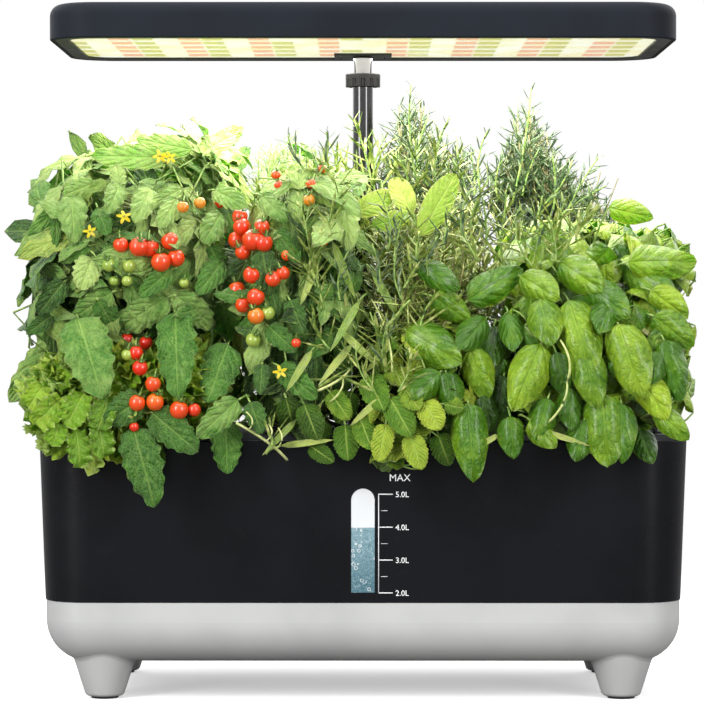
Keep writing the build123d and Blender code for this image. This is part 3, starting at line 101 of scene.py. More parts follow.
@dataclass
class NodeKit:
    """Adds nodes to one node tree and links them."""

    tree: bpy.types.NodeTree

    def add(self, kind: str, inputs: dict | None = None, **settings: object) -> bpy.types.Node:
        """Add a node, set its properties and set or link its inputs.

        Args:
            kind: The node's type name.
            inputs: Values or output sockets by input name or number.
            settings: Properties of the node.

        Returns:
            The node.
        """
        node = self.tree.nodes.new(kind)
        for name, value in settings.items():
            setattr(node, name, value)
        for key, value in (inputs or {}).items():
            self.feed(node.inputs[key], value)
        return node

    def feed(self, target: Socket, value: object) -> None:
        """Link an output socket to an input, or set the input's own value."""
        if isinstance(value, Socket):
            self.tree.links.new(value, target)
        else:
            target.default_value = value

    def math(self, operation: str, *values: object, clamp: bool = False) -> Socket:
        """Add a Math node.

        Args:
            operation: The operation's name.
            values: Numbers or sockets for its inputs, in order.
            clamp: Whether the result is kept between 0 and 1.

        Returns:
            The result's socket.
        """
        node = self.add("ShaderNodeMath", dict(enumerate(values)), operation=operation)
        node.use_clamp = clamp
        return node.outputs[0]

    def times(self, first: object, second: object, clamp: bool = False) -> Socket:
        """Multiply two numbers or sockets."""
        return self.math("MULTIPLY", first, second, clamp=clamp)

    def gap(self, value: object, middle: float) -> Socket:
        """Return how far a value is from a middle."""
        return self.math("ABSOLUTE", self.math("SUBTRACT", value, middle))

    def cells(self, vector: object, scale: object, feature: str = "F1") -> Socket:
        """Add a cell texture and return its distance's socket."""
        inputs = {"Vector": vector, "Scale": scale}
        return self.add("ShaderNodeTexVoronoi", inputs, feature=feature).outputs["Distance"]

    def split(self, vector: object) -> bpy.types.bpy_prop_collection:
        """Return a vector's X, Y and Z."""
        return self.add("ShaderNodeSeparateXYZ", {0: vector}).outputs

    def vary(self, value: object, noise: Socket, amount: float, clamp: bool = False) -> Socket:
        """Shift a value up and down by a noise."""
        stray = self.math("SUBTRACT", noise, 0.5)
        return self.math("MULTIPLY_ADD", stray, amount, value, clamp=clamp)

    def span(
        self, value: object, low: float, high: float, start: float = 0.0, end: float = 1.0
    ) -> Socket:
        """Map a value from one range smoothly to another.

        Args:
            value: Number or socket to map.
            low: Where the first range starts.
            high: Where the first range ends.
            start: What the start maps to.
            end: What the end maps to.

        Returns:
            The mapped value's socket.
        """
        node = self.add(
            "ShaderNodeMapRange",
            {"Value": value, "From Min": low, "From Max": high, "To Min": start, "To Max": end},
            interpolation_type="SMOOTHSTEP",
        )
        return node.outputs["Result"]

    def mix(
        self, factor: object, first: object, second: object, blend: str = "MIX"
    ) -> Socket:
        """Mix two colours.

        Args:
            factor: Share of the second colour.
            first: Colour or socket.
            second: Colour or socket.
            blend: How they mix.

        Returns:
            The mixed colour's socket.
        """
        node = self.add("ShaderNodeMix", data_type="RGBA", blend_type=blend)
        for index, value in ((0, factor), (6, first), (7, second)):
            self.feed(node.inputs[index], value)
        return node.outputs[2]

    def ramp(self, factor: object, stops: Sequence[tuple[float, Colour]]) -> Socket:
        """Colour a value by a row of stops.

        Args:
            factor: Number or socket from 0 to 1.
            stops: Places and their colours, in order.

        Returns:
            The colour's socket.
        """
        node = self.add("ShaderNodeValToRGB", {"Fac": factor})
        row = node.color_ramp.elements
        while len(row) < len(stops):
            row.new(0.5)
        for element, (place, colour) in zip(row, stops):
            element.position = place
            element.color = colour
        return node.outputs["Color"]

    def noise(
        self, vector: object, scale: object, detail: float = 2.0, rough: float = 0.5
    ) -> Socket:
        """Add a noise texture and return its value's socket."""
        node = self.add(
            "ShaderNodeTexNoise",
            {"Vector": vector, "Scale": scale, "Detail": detail, "Roughness": rough},
        )
        return node.outputs[0]


class Group:
    """A node group under construction, with named inputs and outputs."""

    def __init__(
        self,
        name: str,
        inputs: Sequence[tuple[str, str, object]],
        outputs: Sequence[tuple[str, str]],
        family: str = "Shader",
    ) -> None:
        """Make the group and its sockets.

        Args:
            name: The group's name.
            inputs: Name, kind and default of each input.
            outputs: Name and kind of each output.
            family: Kind of the group's tree.
        """
        self.tree = bpy.data.node_groups.new(name, family + "NodeTree")
        rows = [(*row, "INPUT") for row in inputs] + [(*row, None, "OUTPUT") for row in outputs]
        for label, kind, default, way in rows:
            socket = self.tree.interface.new_socket(
                name=label, in_out=way, socket_type=f"NodeSocket{kind}"
            )
            if default is not None:
                socket.default_value = default
        self.kit = NodeKit(self.tree)
        self.source = self.kit.add("NodeGroupInput").outputs
        self.result = self.kit.add("NodeGroupOutput").inputs


def moulded_grain() -> bpy.types.NodeTree:
    """Build the fine grain and slow cloudiness that moulded plastic shows."""
    group = Group(
        "MouldedGrain",
        [("Vector", "Vector", None), ("Grain", "Float", 900.0), ("Cloud", "Float", 14.0)],
        [("Height", "Float"), ("Cloud", "Float"), ("Wear", "Float")],
    )
    kit, source = group.kit, group.source
    grain = kit.noise(source["Vector"], source["Grain"], 2.0, 0.6)
    cloud = kit.noise(source["Vector"], source["Cloud"], 3.0, 0.55)
    speck = kit.noise(source["Vector"], 160.0, 4.0, 0.7)
    kit.feed(group.result["Height"], grain)
    kit.feed(group.result["Cloud"], kit.span(cloud, 0.3, 0.7))
    kit.feed(group.result["Wear"], kit.span(speck, 0.56, 0.72))
    return group.tree


def leaf_veins() -> bpy.types.NodeTree:
    """Build the midrib, side veins, net and swelling of a leaf blade from its UV map."""
    group = Group(
        "LeafVeins",
        [
            ("UV", "Vector", None),
            ("Veins", "Float", 7.0),
            ("Slant", "Float", 0.3),
            ("Net", "Float", 26.0),
            ("Place", "Vector", None),
        ],
        [("Vein", "Float"), ("Puff", "Float"), ("Edge", "Float"), ("Net", "Float")],
    )
    kit, source = group.kit, group.source
    parts = kit.split(source["UV"])
    along = kit.vary(parts["X"], kit.noise(source["Place"], 150.0), 0.07)
    side = kit.math("ABSOLUTE", kit.math("MULTIPLY_ADD", parts["Y"], 2.0, -1.0))
    bent = kit.times(kit.math("POWER", side, 1.35), source["Slant"])
    turn = kit.times(kit.math("SUBTRACT", along, bent), source["Veins"])
    saw = kit.gap(kit.math("FRACT", turn), 0.5)
    near = kit.times(saw, 2.0)
    fade = kit.span(side, 0.75, 1.0, 1.0, 0.25)
    branch = kit.times(kit.span(near, 0.9, 0.985), fade)
    midrib = kit.span(side, 0.03, 0.1, 1.0, 0.0)
    stretched = kit.add("ShaderNodeVectorMath", {0: source["UV"], 1: (1.0, 0.62, 1.0)})
    stretched.operation = "MULTIPLY"
    cells = kit.cells(stretched.outputs[0], source["Net"], "DISTANCE_TO_EDGE")
    net = kit.span(cells, 0.02, 0.11, 1.0, 0.0)
    strong = kit.math("MAXIMUM", midrib, kit.times(branch, 0.8))
    kit.feed(group.result["Vein"], strong)
    swell = kit.times(kit.span(near, 0.2, 1.0, 1.0, 0.0), kit.span(side, 0.0, 0.3))
    crumple = kit.noise(source["Place"], 340.0, 3.0, 0.6)
    swell = kit.times(swell, kit.span(crumple, 0.38, 0.62, 0.35, 1.35))
    kit.feed(group.result["Puff"], swell)
    kit.feed(group.result["Edge"], kit.span(side, 0.8, 1.0))
    kit.feed(group.result["Net"], net)
    return group.tree


def foliage_tone() -> bpy.types.NodeTree:
    """Build the light and dark patches of foliage, from place and each leaf's tint, which for canopy leaves
    near the lamp includes painted lamp light.
    """
    group = Group(
        "FoliageTone",
        [("Vector", "Vector", None), ("Tint", "Float", 0.5), ("Patch", "Float", 60.0)],
        [("Tone", "Float"), ("Fleck", "Float")],
    )
    kit, source = group.kit, group.source
    patch = kit.noise(source["Vector"], source["Patch"], 3.0, 0.6)
    fine = kit.noise(source["Vector"], 420.0, 3.0, 0.6)
    tone = kit.vary(source["Tint"], patch, 0.55)
    tone = kit.vary(tone, fine, 0.3, clamp=True)
    kit.feed(group.result["Tone"], tone)
    kit.feed(group.result["Fleck"], kit.span(fine, 0.58, 0.75))
    return group.tree


class Pattern(Enum):
    """The node groups that several finishes use."""

    GRAIN = "MouldedGrain"
    VEINS = "LeafVeins"
    TONE = "FoliageTone"

    def tree(self) -> bpy.types.NodeTree:
        """Return the pattern's group, built on first use."""
        makers = {Pattern.GRAIN: moulded_grain, Pattern.VEINS: leaf_veins, Pattern.TONE: foliage_tone}
        return bpy.data.node_groups.get(self.value) or makers[self]()


class Dressed:
    """A material under construction with its Principled shader."""

    def __init__(self, name: str) -> None:
        """Make the material.

        Args:
            name: The material's name.
        """
        self.material = bpy.data.materials.new(name)
        self.material.use_nodes = True
        tree = self.material.node_tree
        self.kit = NodeKit(tree)
        self.shader = next(node for node in tree.nodes if node.type == "BSDF_PRINCIPLED")
        self.place = self.kit.add("ShaderNodeTexCoord").outputs["Object"]

    def set(self, **values: object) -> None:
        """Set or link shader inputs, named with underscores for spaces."""
        for name, value in values.items():
            label = name.replace("_", " ").title().replace("Ior", "IOR")
            self.kit.feed(self.shader.inputs[label], value)

    def group(self, pattern: Pattern, inputs: dict[str, object]) -> bpy.types.bpy_prop_collection:
        """Place a shared node group and return its outputs."""
        node = self.kit.add("ShaderNodeGroup", node_tree=pattern.tree())
        for key, value in inputs.items():
            self.kit.feed(node.inputs[key], value)
        return node.outputs

    def bump(self, height: object, strength: float, distance: float) -> None:
        """Feed a height into the shader's normal."""
        node = self.kit.add(
            "ShaderNodeBump", {"Height": height, "Strength": strength, "Distance": distance}
        )
        self.kit.feed(self.shader.inputs["Normal"], node.outputs["Normal"])

    def bubbles(self, scale: float, radius: float, soft: float, picked: Socket) -> Socket:
        """Return the rims of small bubbles, in the patches where they cling.

        Args:
            scale: How finely they lie.
            radius: Where a bubble's rim is in its cell.
            soft: How far the rim fades.
            picked: Where there are bubbles.

        Returns:
            The rims' socket.
        """
        ring = self.kit.gap(self.kit.cells(self.place, scale), radius)
        return self.kit.times(self.kit.span(ring, 0.02, soft, 1.0, 0.0), picked)


# Finishes


class Finish(Protocol):
    """A finish: its name, and the material that it builds."""

    name: str

    def material(self) -> Material:
        """Build the material."""


@dataclass(frozen=True)
class Plastic:
    """A moulded plastic, rubber or plated finish with grain, cloudiness and light wear."""

    name: str
    dark: Shade
    light: Shade
    rough: Pair = (0.3, 0.4)
    grain: float = 900.0
    bump: float = 0.08
    metallic: float = 0.0
    coat: float = 0.0
    coat_rough: float = 0.1
    specular: float = 0.5

    def material(self) -> Material:
        """Build the material."""
        made = Dressed(self.name)
        parts = made.group(Pattern.GRAIN, {"Vector": made.place, "Grain": self.grain})
        colour = made.kit.mix(parts["Cloud"], srgb(*self.dark), srgb(*self.light))
        rough = made.kit.span(parts["Cloud"], 0.0, 1.0, *self.rough)
        rough = made.kit.math("MULTIPLY_ADD", parts["Wear"], 0.06, rough)
        made.set(base_color=colour, roughness=rough, metallic=self.metallic, coat_weight=self.coat)
        made.set(coat_roughness=self.coat_rough, specular_ior_level=self.specular)
        made.bump(parts["Height"], self.bump, 0.0002)
        return made.material


@dataclass(frozen=True)
class Leafy:
    """A leaf finish: its greens, its vein pattern and how its surface shines."""

    name: str
    deep: Shade
    mid: Shade
    pale: Shade
    vein: Shade
    under: Shade
    old: Shade = (205, 200, 70)
    veins: float = 7.0
    slant: float = 0.3
    net: float = 26.0
    vein_share: float = 0.5
    net_share: float = 0.15
    rough: Pair = (0.42, 0.6)
    puff: float = 0.6
    relief: float = 0.0012
    coat: float = 0.0
    sheen: float = 0.0
    glow: float = 0.3

    def material(self) -> Material:
        """Build the material."""
        made = Dressed(self.name)
        kit = made.kit
        uv = kit.add("ShaderNodeUVMap", uv_map="blade").outputs["UV"]
        tone_map = kit.add("ShaderNodeAttribute", attribute_name="tone").outputs["Color"]
        tone_parts = kit.add("ShaderNodeSeparateColor", {0: tone_map}).outputs
        tint, age, under = tone_parts[0], tone_parts[1], tone_parts[2]
        blade = made.group(
            Pattern.VEINS,
            {"UV": uv, "Veins": self.veins, "Slant": self.slant, "Net": self.net, "Place": made.place},
        )
        patch = made.group(Pattern.TONE, {"Vector": made.place, "Tint": tint})
        greens = ((0.12, self.deep), (0.5, self.mid), (0.9, self.pale))
        green = kit.ramp(patch["Tone"], [(place, srgb(*shade)) for place, shade in greens])
        vein = srgb(*self.vein)
        green = kit.mix(kit.times(blade["Net"], self.net_share), green, vein)
        green = kit.mix(kit.times(blade["Vein"], self.vein_share), green, vein)
        rim_age = kit.math("MULTIPLY_ADD", blade["Edge"], 0.5, 0.35)
        green = kit.mix(kit.times(rim_age, age, clamp=True), green, srgb(*self.old))
        green = kit.mix(kit.times(under, 0.6), green, srgb(*self.under))
        made.set(base_color=green)
        rough = kit.span(patch["Tone"], 0.0, 1.0, *self.rough)
        made.set(roughness=kit.math("MULTIPLY_ADD", under, 0.15, rough, clamp=True))
        made.set(coat_weight=self.coat, coat_roughness=0.25, specular_ior_level=0.3)
        made.set(subsurface_weight=self.glow, subsurface_radius=(0.5, 1.0, 0.15))
        made.set(subsurface_scale=0.0015, sheen_weight=self.sheen, sheen_roughness=0.4)
        height = kit.times(blade["Puff"], self.puff)
        height = kit.math("MULTIPLY_ADD", blade["Vein"], -0.6, height)
        height = kit.math("MULTIPLY_ADD", blade["Net"], -0.18, height)
        made.bump(height, 0.75, self.relief)
        return made.material


@dataclass(frozen=True)
class Sponge:
    """The open-celled growing sponge."""

    name: str = "sponge_brown"

    def material(self) -> Material:
        """Build the material."""
        made = Dressed(self.name)
        cells = made.kit.cells(made.place, 700.0)
        # The pores are painted darker towards their middles, as shade in the holes; the browns are the
        # sponge's own.
        colour = made.kit.ramp(cells, [(0.1, srgb(30, 22, 15)), (0.7, srgb(86, 66, 46))])
        made.set(base_color=colour, roughness=made.kit.span(cells, 0.0, 1.0, 0.85, 0.95))
        made.bump(cells, 0.9, 0.0008)
        return made.material


@dataclass(frozen=True)
class Window:
    """The moulded window: misted above the water, and tinted by it below."""

    name: str = "clear_window"

    def material(self) -> Material:
        """Build the material."""
        made = Dressed(self.name)
        kit = made.kit
        height = kit.split(made.place)["Z"]
        haze = kit.noise(made.place, 90.0, 3.0, 0.6)
        ripple = kit.math("MULTIPLY_ADD", haze, 0.0006, height)
        wet = kit.span(ripple, 0.0969, 0.0975, 1.0, 0.0)
        dry = kit.mix(haze, srgb(238, 243, 245), srgb(250, 252, 253))
        deep = kit.mix(kit.span(height, 0.06, 0.097), srgb(92, 130, 142), srgb(138, 172, 182))
        foam = kit.noise(made.place, 1000.0, 3.0, 0.65)
        deep = kit.mix(kit.span(foam, 0.54, 0.68, 0.0, 0.55), deep, srgb(204, 224, 230))
        deep = kit.mix(kit.span(foam, 0.32, 0.44, 0.55, 0.0), deep, srgb(52, 84, 96))
        picked = kit.span(kit.noise(made.place, 110.0, 1.0), 0.48, 0.6)
        bubble = made.bubbles(330.0, 0.3, 0.09, picked)
        tinted = kit.mix(bubble, deep, srgb(236, 244, 246))
        made.set(
            base_color=kit.mix(wet, dry, tinted),
            roughness=kit.span(haze, 0.3, 0.7, 0.06, 0.12),
            transmission_weight=0.15,
            ior=1.3,
        )
        made.bump(kit.times(bubble, wet), 0.5, 0.0005)
        return made.material


@dataclass(frozen=True)
class Water:
    """The water in the level gauge, with bubbles that cling to the window."""

    name: str = "water"

    def material(self) -> Material:
        """Build the material."""
        made = Dressed(self.name)
        kit = made.kit
        height = kit.split(made.place)["Z"]
        depth = kit.span(height, 0.06, 0.097)
        colour = kit.ramp(
            depth, [(0.0, srgb(92, 128, 138)), (0.7, srgb(128, 162, 170)), (1.0, srgb(176, 198, 202))]
        )
        picked = kit.span(kit.noise(made.place, 130.0, 1.0), 0.5, 0.62)
        bubble = made.bubbles(420.0, 0.28, 0.1, picked)
        colour = kit.mix(bubble, colour, srgb(228, 238, 240))
        made.set(base_color=colour, roughness=kit.span(bubble, 0.0, 1.0, 0.1, 0.3))
        made.bump(bubble, 0.4, 0.0006)
        return made.material


@dataclass(frozen=True)
class Diffuser:
    """The lit diffuser, with the glow of the white, red and warm chips behind it."""

    name: str = "diffuser_cream"

    def material(self) -> Material:
        """Build the material."""
        made = Dressed(self.name)
        kit = made.kit
        parts = kit.split(made.place)
        across = kit.math("DIVIDE", parts["X"], 0.013)
        deep = kit.math("DIVIDE", kit.math("SUBTRACT", parts["Y"], 0.016), 0.028)
        column = kit.math("FLOOR", across)
        row = kit.math("FLOOR", kit.times(deep, 0.5))
        picked = kit.math("MULTIPLY_ADD", row, 3.0, column)
        turn = kit.math("MODULO", kit.math("ADD", picked, 600.0), 3.0)
        spot = kit.add("ShaderNodeCombineXYZ", {0: column, 1: row}).outputs[0]
        luck = kit.add("ShaderNodeTexWhiteNoise", {"Vector": spot}).outputs["Value"]
        kept = kit.span(luck, 0.12, 0.2)
        red = kit.span(kit.gap(turn, 1.0), 0.3, 0.6, 1.0, 0.0)
        red = kit.times(red, kit.span(luck, 0.85, 0.95, 1.0, 0.0))
        warm = kit.times(kit.span(turn, 1.2, 1.6), kept)
        edge_x = kit.gap(kit.math("FRACT", across), 0.5)
        edge_y = kit.gap(kit.math("FRACT", deep), 0.5)
        inside = kit.span(edge_x, 0.4, 0.5, 0.85, 0.3)
        inside = kit.times(inside, kit.span(edge_y, 0.24, 0.42, 1.0, 0.1))
        wander = kit.noise(made.place, 30.0)
        base = kit.mix(kit.span(wander, 0.35, 0.65), srgb(250, 243, 205), srgb(255, 255, 245))
        glow = kit.mix(kit.times(red, inside), base, srgb(238, 170, 142))
        glow = kit.mix(kit.times(warm, inside), glow, srgb(198, 194, 104))
        shade = kit.mix(0.6, glow, srgb(90, 86, 70))
        made.set(base_color=shade, roughness=kit.span(inside, 0.0, 1.0, 0.35, 0.45))
        made.set(emission_color=glow, emission_strength=0.8)
        return made.material


@dataclass(frozen=True)
class Chip:
    """A lit chip: its glow, and how strong that is."""

    name: str
    glow: Shade
    strength: float

    def material(self) -> Material:
        """Build the material."""
        made = Dressed(self.name)
        spot = made.kit.noise(made.place, 800.0)
        tint = made.kit.mix(spot, srgb(*self.glow), WHITE)
        made.set(base_color=tint, roughness=made.kit.span(spot, 0.0, 1.0, 0.3, 0.5))
        made.set(emission_color=tint, emission_strength=self.strength)
        return made.material


@dataclass(frozen=True)
class TomatoSkin:
    """The taut glossy skin of a tomato, green to orange to red as it ripens."""

    name: str = "tomato_skin"

    def material(self) -> Material:
        """Build the material."""
        made = Dressed(self.name)
        kit = made.kit
        tone_map = kit.add("ShaderNodeAttribute", attribute_name="tone").outputs["Color"]
        parts = kit.add("ShaderNodeSeparateColor", {0: tone_map}).outputs
        patch = kit.noise(made.place, 90.0)
        ripe = kit.vary(parts[0], patch, 0.16)
        ripe = kit.math("MULTIPLY_ADD", parts[1], -0.12, ripe, clamp=True)
        colour = kit.ramp(
            ripe,
            [
                (0.0, srgb(126, 160, 58)),
                (0.2, srgb(176, 192, 84)),
                (0.42, srgb(228, 142, 40)),
                (0.62, srgb(234, 78, 24)),
                (0.86, srgb(220, 36, 18)),
                (1.0, srgb(160, 18, 14)),
            ],
        )
        # A fine noise gives the skin a faint real bump and pale specks, which are painted glints.
        speck_and_glint = kit.noise(made.place, 1400.0, 2.0, 0.6)
        colour = kit.mix(kit.span(speck_and_glint, 0.66, 0.78, 0.0, 0.25), colour, srgb(250, 170, 110))
        made.set(base_color=colour, roughness=kit.span(patch, 0.3, 0.7, 0.16, 0.26))
        made.set(coat_weight=0.4, coat_roughness=0.08)
        made.bump(speck_and_glint, 0.05, 0.0002)
        return made.material


@dataclass(frozen=True)
class Stem:
    """A stem finish, streaked from its hollows to its ridges and slightly rough."""

    name: str
    dark: Shade
    light: Shade

    def material(self) -> Material:
        """Build the material."""
        made = Dressed(self.name)
        streak = made.kit.noise(made.place, 260.0, 4.0, 0.65)
        tone = made.kit.span(streak, 0.3, 0.7)
        colour = made.kit.mix(tone, srgb(*self.dark), srgb(*self.light))
        made.set(base_color=colour, roughness=made.kit.span(streak, 0.2, 0.8, 0.5, 0.7))
        made.bump(streak, 0.5, 0.0005)
        return made.material


@dataclass(frozen=True)
class Needle:
    """The finish of fine needle leaves, whose green varies from sprig to sprig."""

    name: str
    dark: Shade
    mid: Shade
    pale: Shade

    def material(self) -> Material:
        """Build the material."""
        made = Dressed(self.name)
        kit = made.kit
        patch = kit.noise(made.place, 130.0, 4.0, 0.75)
        greens = ((0.1, self.dark), (0.5, self.mid), (0.95, self.pale))
        greens = [(place, srgb(*shade)) for place, shade in greens]
        colour = kit.ramp(kit.span(patch, 0.3, 0.72), greens)
        made.set(base_color=colour, roughness=kit.span(patch, 0.2, 0.8, 0.42, 0.6))
        made.bump(kit.noise(made.place, 900.0), 0.3, 0.0004)
        return made.material


class Finishes:
    """Every finish of the garden, built on first use and kept by name."""

    def __init__(self) -> None:
        """List the finishes."""
        black = (29, 31, 35)
        self.made: dict[str, Material] = {}
        self.listed: dict[str, Finish] = {}
        for item in (
            Plastic("tub_grey", (180, 181, 180), (194, 195, 193), (0.34, 0.42), 1200.0, 0.04),
            Plastic("rubber_dark", (38, 38, 38), (50, 50, 50), (0.7, 0.85), 1600.0, 0.3),
            Plastic(
                "gloss_black", (13, 14, 17), (17, 18, 22), (0.26, 0.32), 1500.0, 0.05,
                specular=0.2,
            ),
            Plastic("deck_black", black, (38, 40, 44), (0.5, 0.6), 1400.0, 0.25, specular=0.25),
            Plastic("basket_black", black, (40, 41, 44), (0.6, 0.7), 1100.0, 0.15, specular=0.15),
            Plastic("pin_steel", (180, 180, 182), (205, 205, 208), (0.2, 0.3), 2200.0, 0.1, 1.0),
            Plastic("pump_black", black, (42, 43, 46), (0.4, 0.5), 1000.0, 0.15),
            Plastic("pump_white", (205, 205, 200), (222, 222, 218), (0.35, 0.45)),
            Plastic("lead_black", (24, 24, 25), (34, 34, 35), (0.45, 0.55), 1800.0, 0.12),
            Plastic("inlet_black", (22, 22, 24), (32, 32, 34), (0.3, 0.4)),
            Plastic(
                "pole_gloss", (9, 9, 11), (13, 13, 15), (0.08, 0.12), 2500.0, 0.02,
                coat=0.8, coat_rough=0.02, specular=0.3,
            ),
            Plastic(
                "collar_black", (5, 5, 6), (9, 9, 10), (0.42, 0.52), 1500.0, 0.25,
                specular=0.15,
            ),
            Plastic("bush_white", (210, 210, 206), (225, 225, 222), (0.4, 0.5)),
            Plastic(
                "hood_black", (29, 32, 38), (33, 37, 44), (0.54, 0.6), 1300.0, 0.05,
                specular=0.08,
            ),
            Plastic("bezel_black", (26, 27, 30), (36, 37, 40), (0.4, 0.5), 1400.0, 0.15),
            Plastic("board_aluminium", (215, 215, 212), (232, 232, 230), (0.4, 0.5)),
            Plastic("screw_steel", (70, 72, 76), (95, 97, 100), (0.3, 0.4), 2200.0, 0.1, 1.0),
            Plastic("board_green", (22, 92, 48), (32, 112, 60), (0.3, 0.4)),
            Plastic("button_grey", (96, 99, 104), (112, 115, 120), (0.35, 0.42)),
            Plastic("print_white", (248, 249, 249), (253, 254, 254), (0.6, 0.7)),
            Leafy(
                "basil_leaf", (22, 58, 2), (68, 118, 8), (158, 192, 42),
                (150, 186, 52), (132, 168, 60), veins=5.0, slant=0.36, net=20.0,
                vein_share=0.07, net_share=0.06, rough=(0.24, 0.36), puff=0.9, relief=0.0014,
                coat=0.35,
            ),
            Leafy(
                "tomato_leaf", (20, 54, 14), (64, 116, 32), (172, 200, 112),
                (160, 194, 96), (124, 156, 76), veins=5.0, slant=0.42, net=20.0,
                vein_share=0.24, net_share=0.22, rough=(0.5, 0.66), puff=0.7, relief=0.0014,
                sheen=0.1,
            ),
            Leafy(
                "mint_leaf", (26, 66, 10), (76, 124, 20), (170, 196, 60),
                (176, 200, 96), (150, 180, 110), veins=8.0, slant=0.34, net=30.0,
                vein_share=0.55, net_share=0.2, rough=(0.44, 0.58), puff=0.9, relief=0.0014,
            ),
            Leafy(
                "lettuce_leaf", (44, 88, 8), (110, 156, 26), (188, 212, 74),
                (196, 214, 110), (176, 204, 110), veins=5.0, slant=0.42, net=18.0,
                vein_share=0.22, net_share=0.12, rough=(0.34, 0.48), puff=0.5, relief=0.001,
            ),
            Leafy(
                "sage_leaf", (92, 130, 34), (146, 178, 54), (190, 210, 96),
                (206, 220, 130), (160, 186, 84), veins=7.0, slant=0.3, net=30.0,
                vein_share=0.25, net_share=0.1, rough=(0.5, 0.65), puff=0.6, relief=0.001,
                sheen=0.1,
            ),
            Leafy(
                "tarragon_leaf", (48, 84, 26), (104, 142, 56), (176, 194, 98),
                (200, 212, 140), (150, 172, 104), veins=1.0, slant=0.0, net=12.0,
                vein_share=0.6, net_share=0.0, rough=(0.42, 0.56), puff=0.0,
            ),
            Leafy(
                "petal_yellow", (236, 208, 30), (248, 226, 48), (252, 238, 104),
                (216, 172, 20), (228, 200, 60), veins=1.0, slant=0.0, net=14.0,
                vein_share=0.4, net_share=0.0, rough=(0.5, 0.6), puff=0.0,
            ),
            Sponge(), Window(), Water(), Diffuser(), TomatoSkin(),
            Chip("led_white", (255, 246, 222), 1.2),
            Chip("led_red", (236, 110, 84), 0.9),
            Chip("led_warm", (216, 206, 120), 0.9),
            Stem("pale_stem", (176, 190, 104), (224, 228, 160)),
            Stem("soft_stem", (96, 138, 52), (168, 192, 104)),
            Stem("woody_stem", (96, 92, 52), (156, 148, 96)),
            Needle("rosemary_needle", (50, 74, 46), (96, 120, 82), (164, 178, 138)),
            Needle("tarragon_needle", (74, 102, 36), (138, 158, 68), (206, 208, 134)),
            Needle("dill_thread", (126, 160, 84), (170, 196, 122), (214, 226, 176)),
        ):
            self.listed[item.name] = item

    def __getitem__(self, name: str) -> Material:
        """Return a finish's material by name."""
        if name not in self.made:
            self.made[name] = self.listed[name].material()
        return self.made[name]


# Camera and studio


def aimed(name: str, data: bpy.types.ID, place: Point, aim: Point) -> Piece:
    """Put a camera or light at a place, turned to face another."""
    thing = bpy.data.objects.new(name, data)
    thing.location = place
    thing.rotation_euler = (Vector(aim) - Vector(place)).to_track_quat("-Z", "Y").to_euler()
    bpy.context.scene.collection.objects.link(thing)
    return thing


@dataclass(frozen=True)
class Sight:
    """The camera, and where a place of its 704-unit picture lies at a depth of the scene."""

    lens: float = 158.4
    place: Point = (0.0, -1.7856, 0.2195)
    aim: Point = (-0.0063, 0.0, 0.1918)
    across: float = 362.9
    down: float = 304.0
    spread: float = 3097.0

    def at(self, u: float, v: float, y: float) -> Vector:
        """Return the point seen at u across and v down, at a depth.

        Args:
            u: Place across the picture, from 0 to 704.
            v: Place down the picture, from 0 to 704.
            y: Depth of the point in the scene.

        Returns:
            The point.
        """
        away = y - self.place[1]
        x = (u - self.across) * away / self.spread
        z = self.place[2] - (v - self.down) * away / self.spread
        return Vector((x, y, z))

    def touch(self, u: float, v: float, fallback: float) -> Vector:
        """Return where a place of the picture falls on the plants.

        Args:
            u: Place across the picture.
            v: Place down the picture.
            fallback: Depth to use where no plant lies behind the place.

        Returns:
            The point.
        """
        start = Vector(self.place)
        heading = (self.at(u, v, 0.0) - start).normalized()
        hits = [tree.ray_cast(start, heading) for tree in Canopy.trees.values()]
        found = [(hit[3], hit[0]) for hit in hits if hit[0] is not None]
        return min(found, key=lambda pair: pair[0])[1] if found else self.at(u, v, fallback)

    def set_up(self) -> None:
        """Make the camera and look through it."""
        data = bpy.data.cameras.new("camera")
        data.lens = self.lens
        data.sensor_width = 36.0
        bpy.context.scene.camera = aimed("camera", data, self.place, self.aim)


@dataclass(frozen=True)
class Softbox:
    """A soft area light."""

    name: str
    place: Point
    size: Pair
    power: float
    aim: Point = (0.0, 0.0, 0.2)
    colour: tuple[float, float, float] = (1.0, 1.0, 1.0)
    body: str = ""

    def hang(self) -> None:
        """Make the light."""
        data = bpy.data.lights.new(self.name, "AREA")
        data.shape = "RECTANGLE"
        data.size, data.size_y = self.size
        data.energy = self.power
        data.color = self.colour
        lamp = aimed(self.name, data, self.place, self.aim)
        lamp.visible_camera = False
        if self.body:
            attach(lamp, self.body)


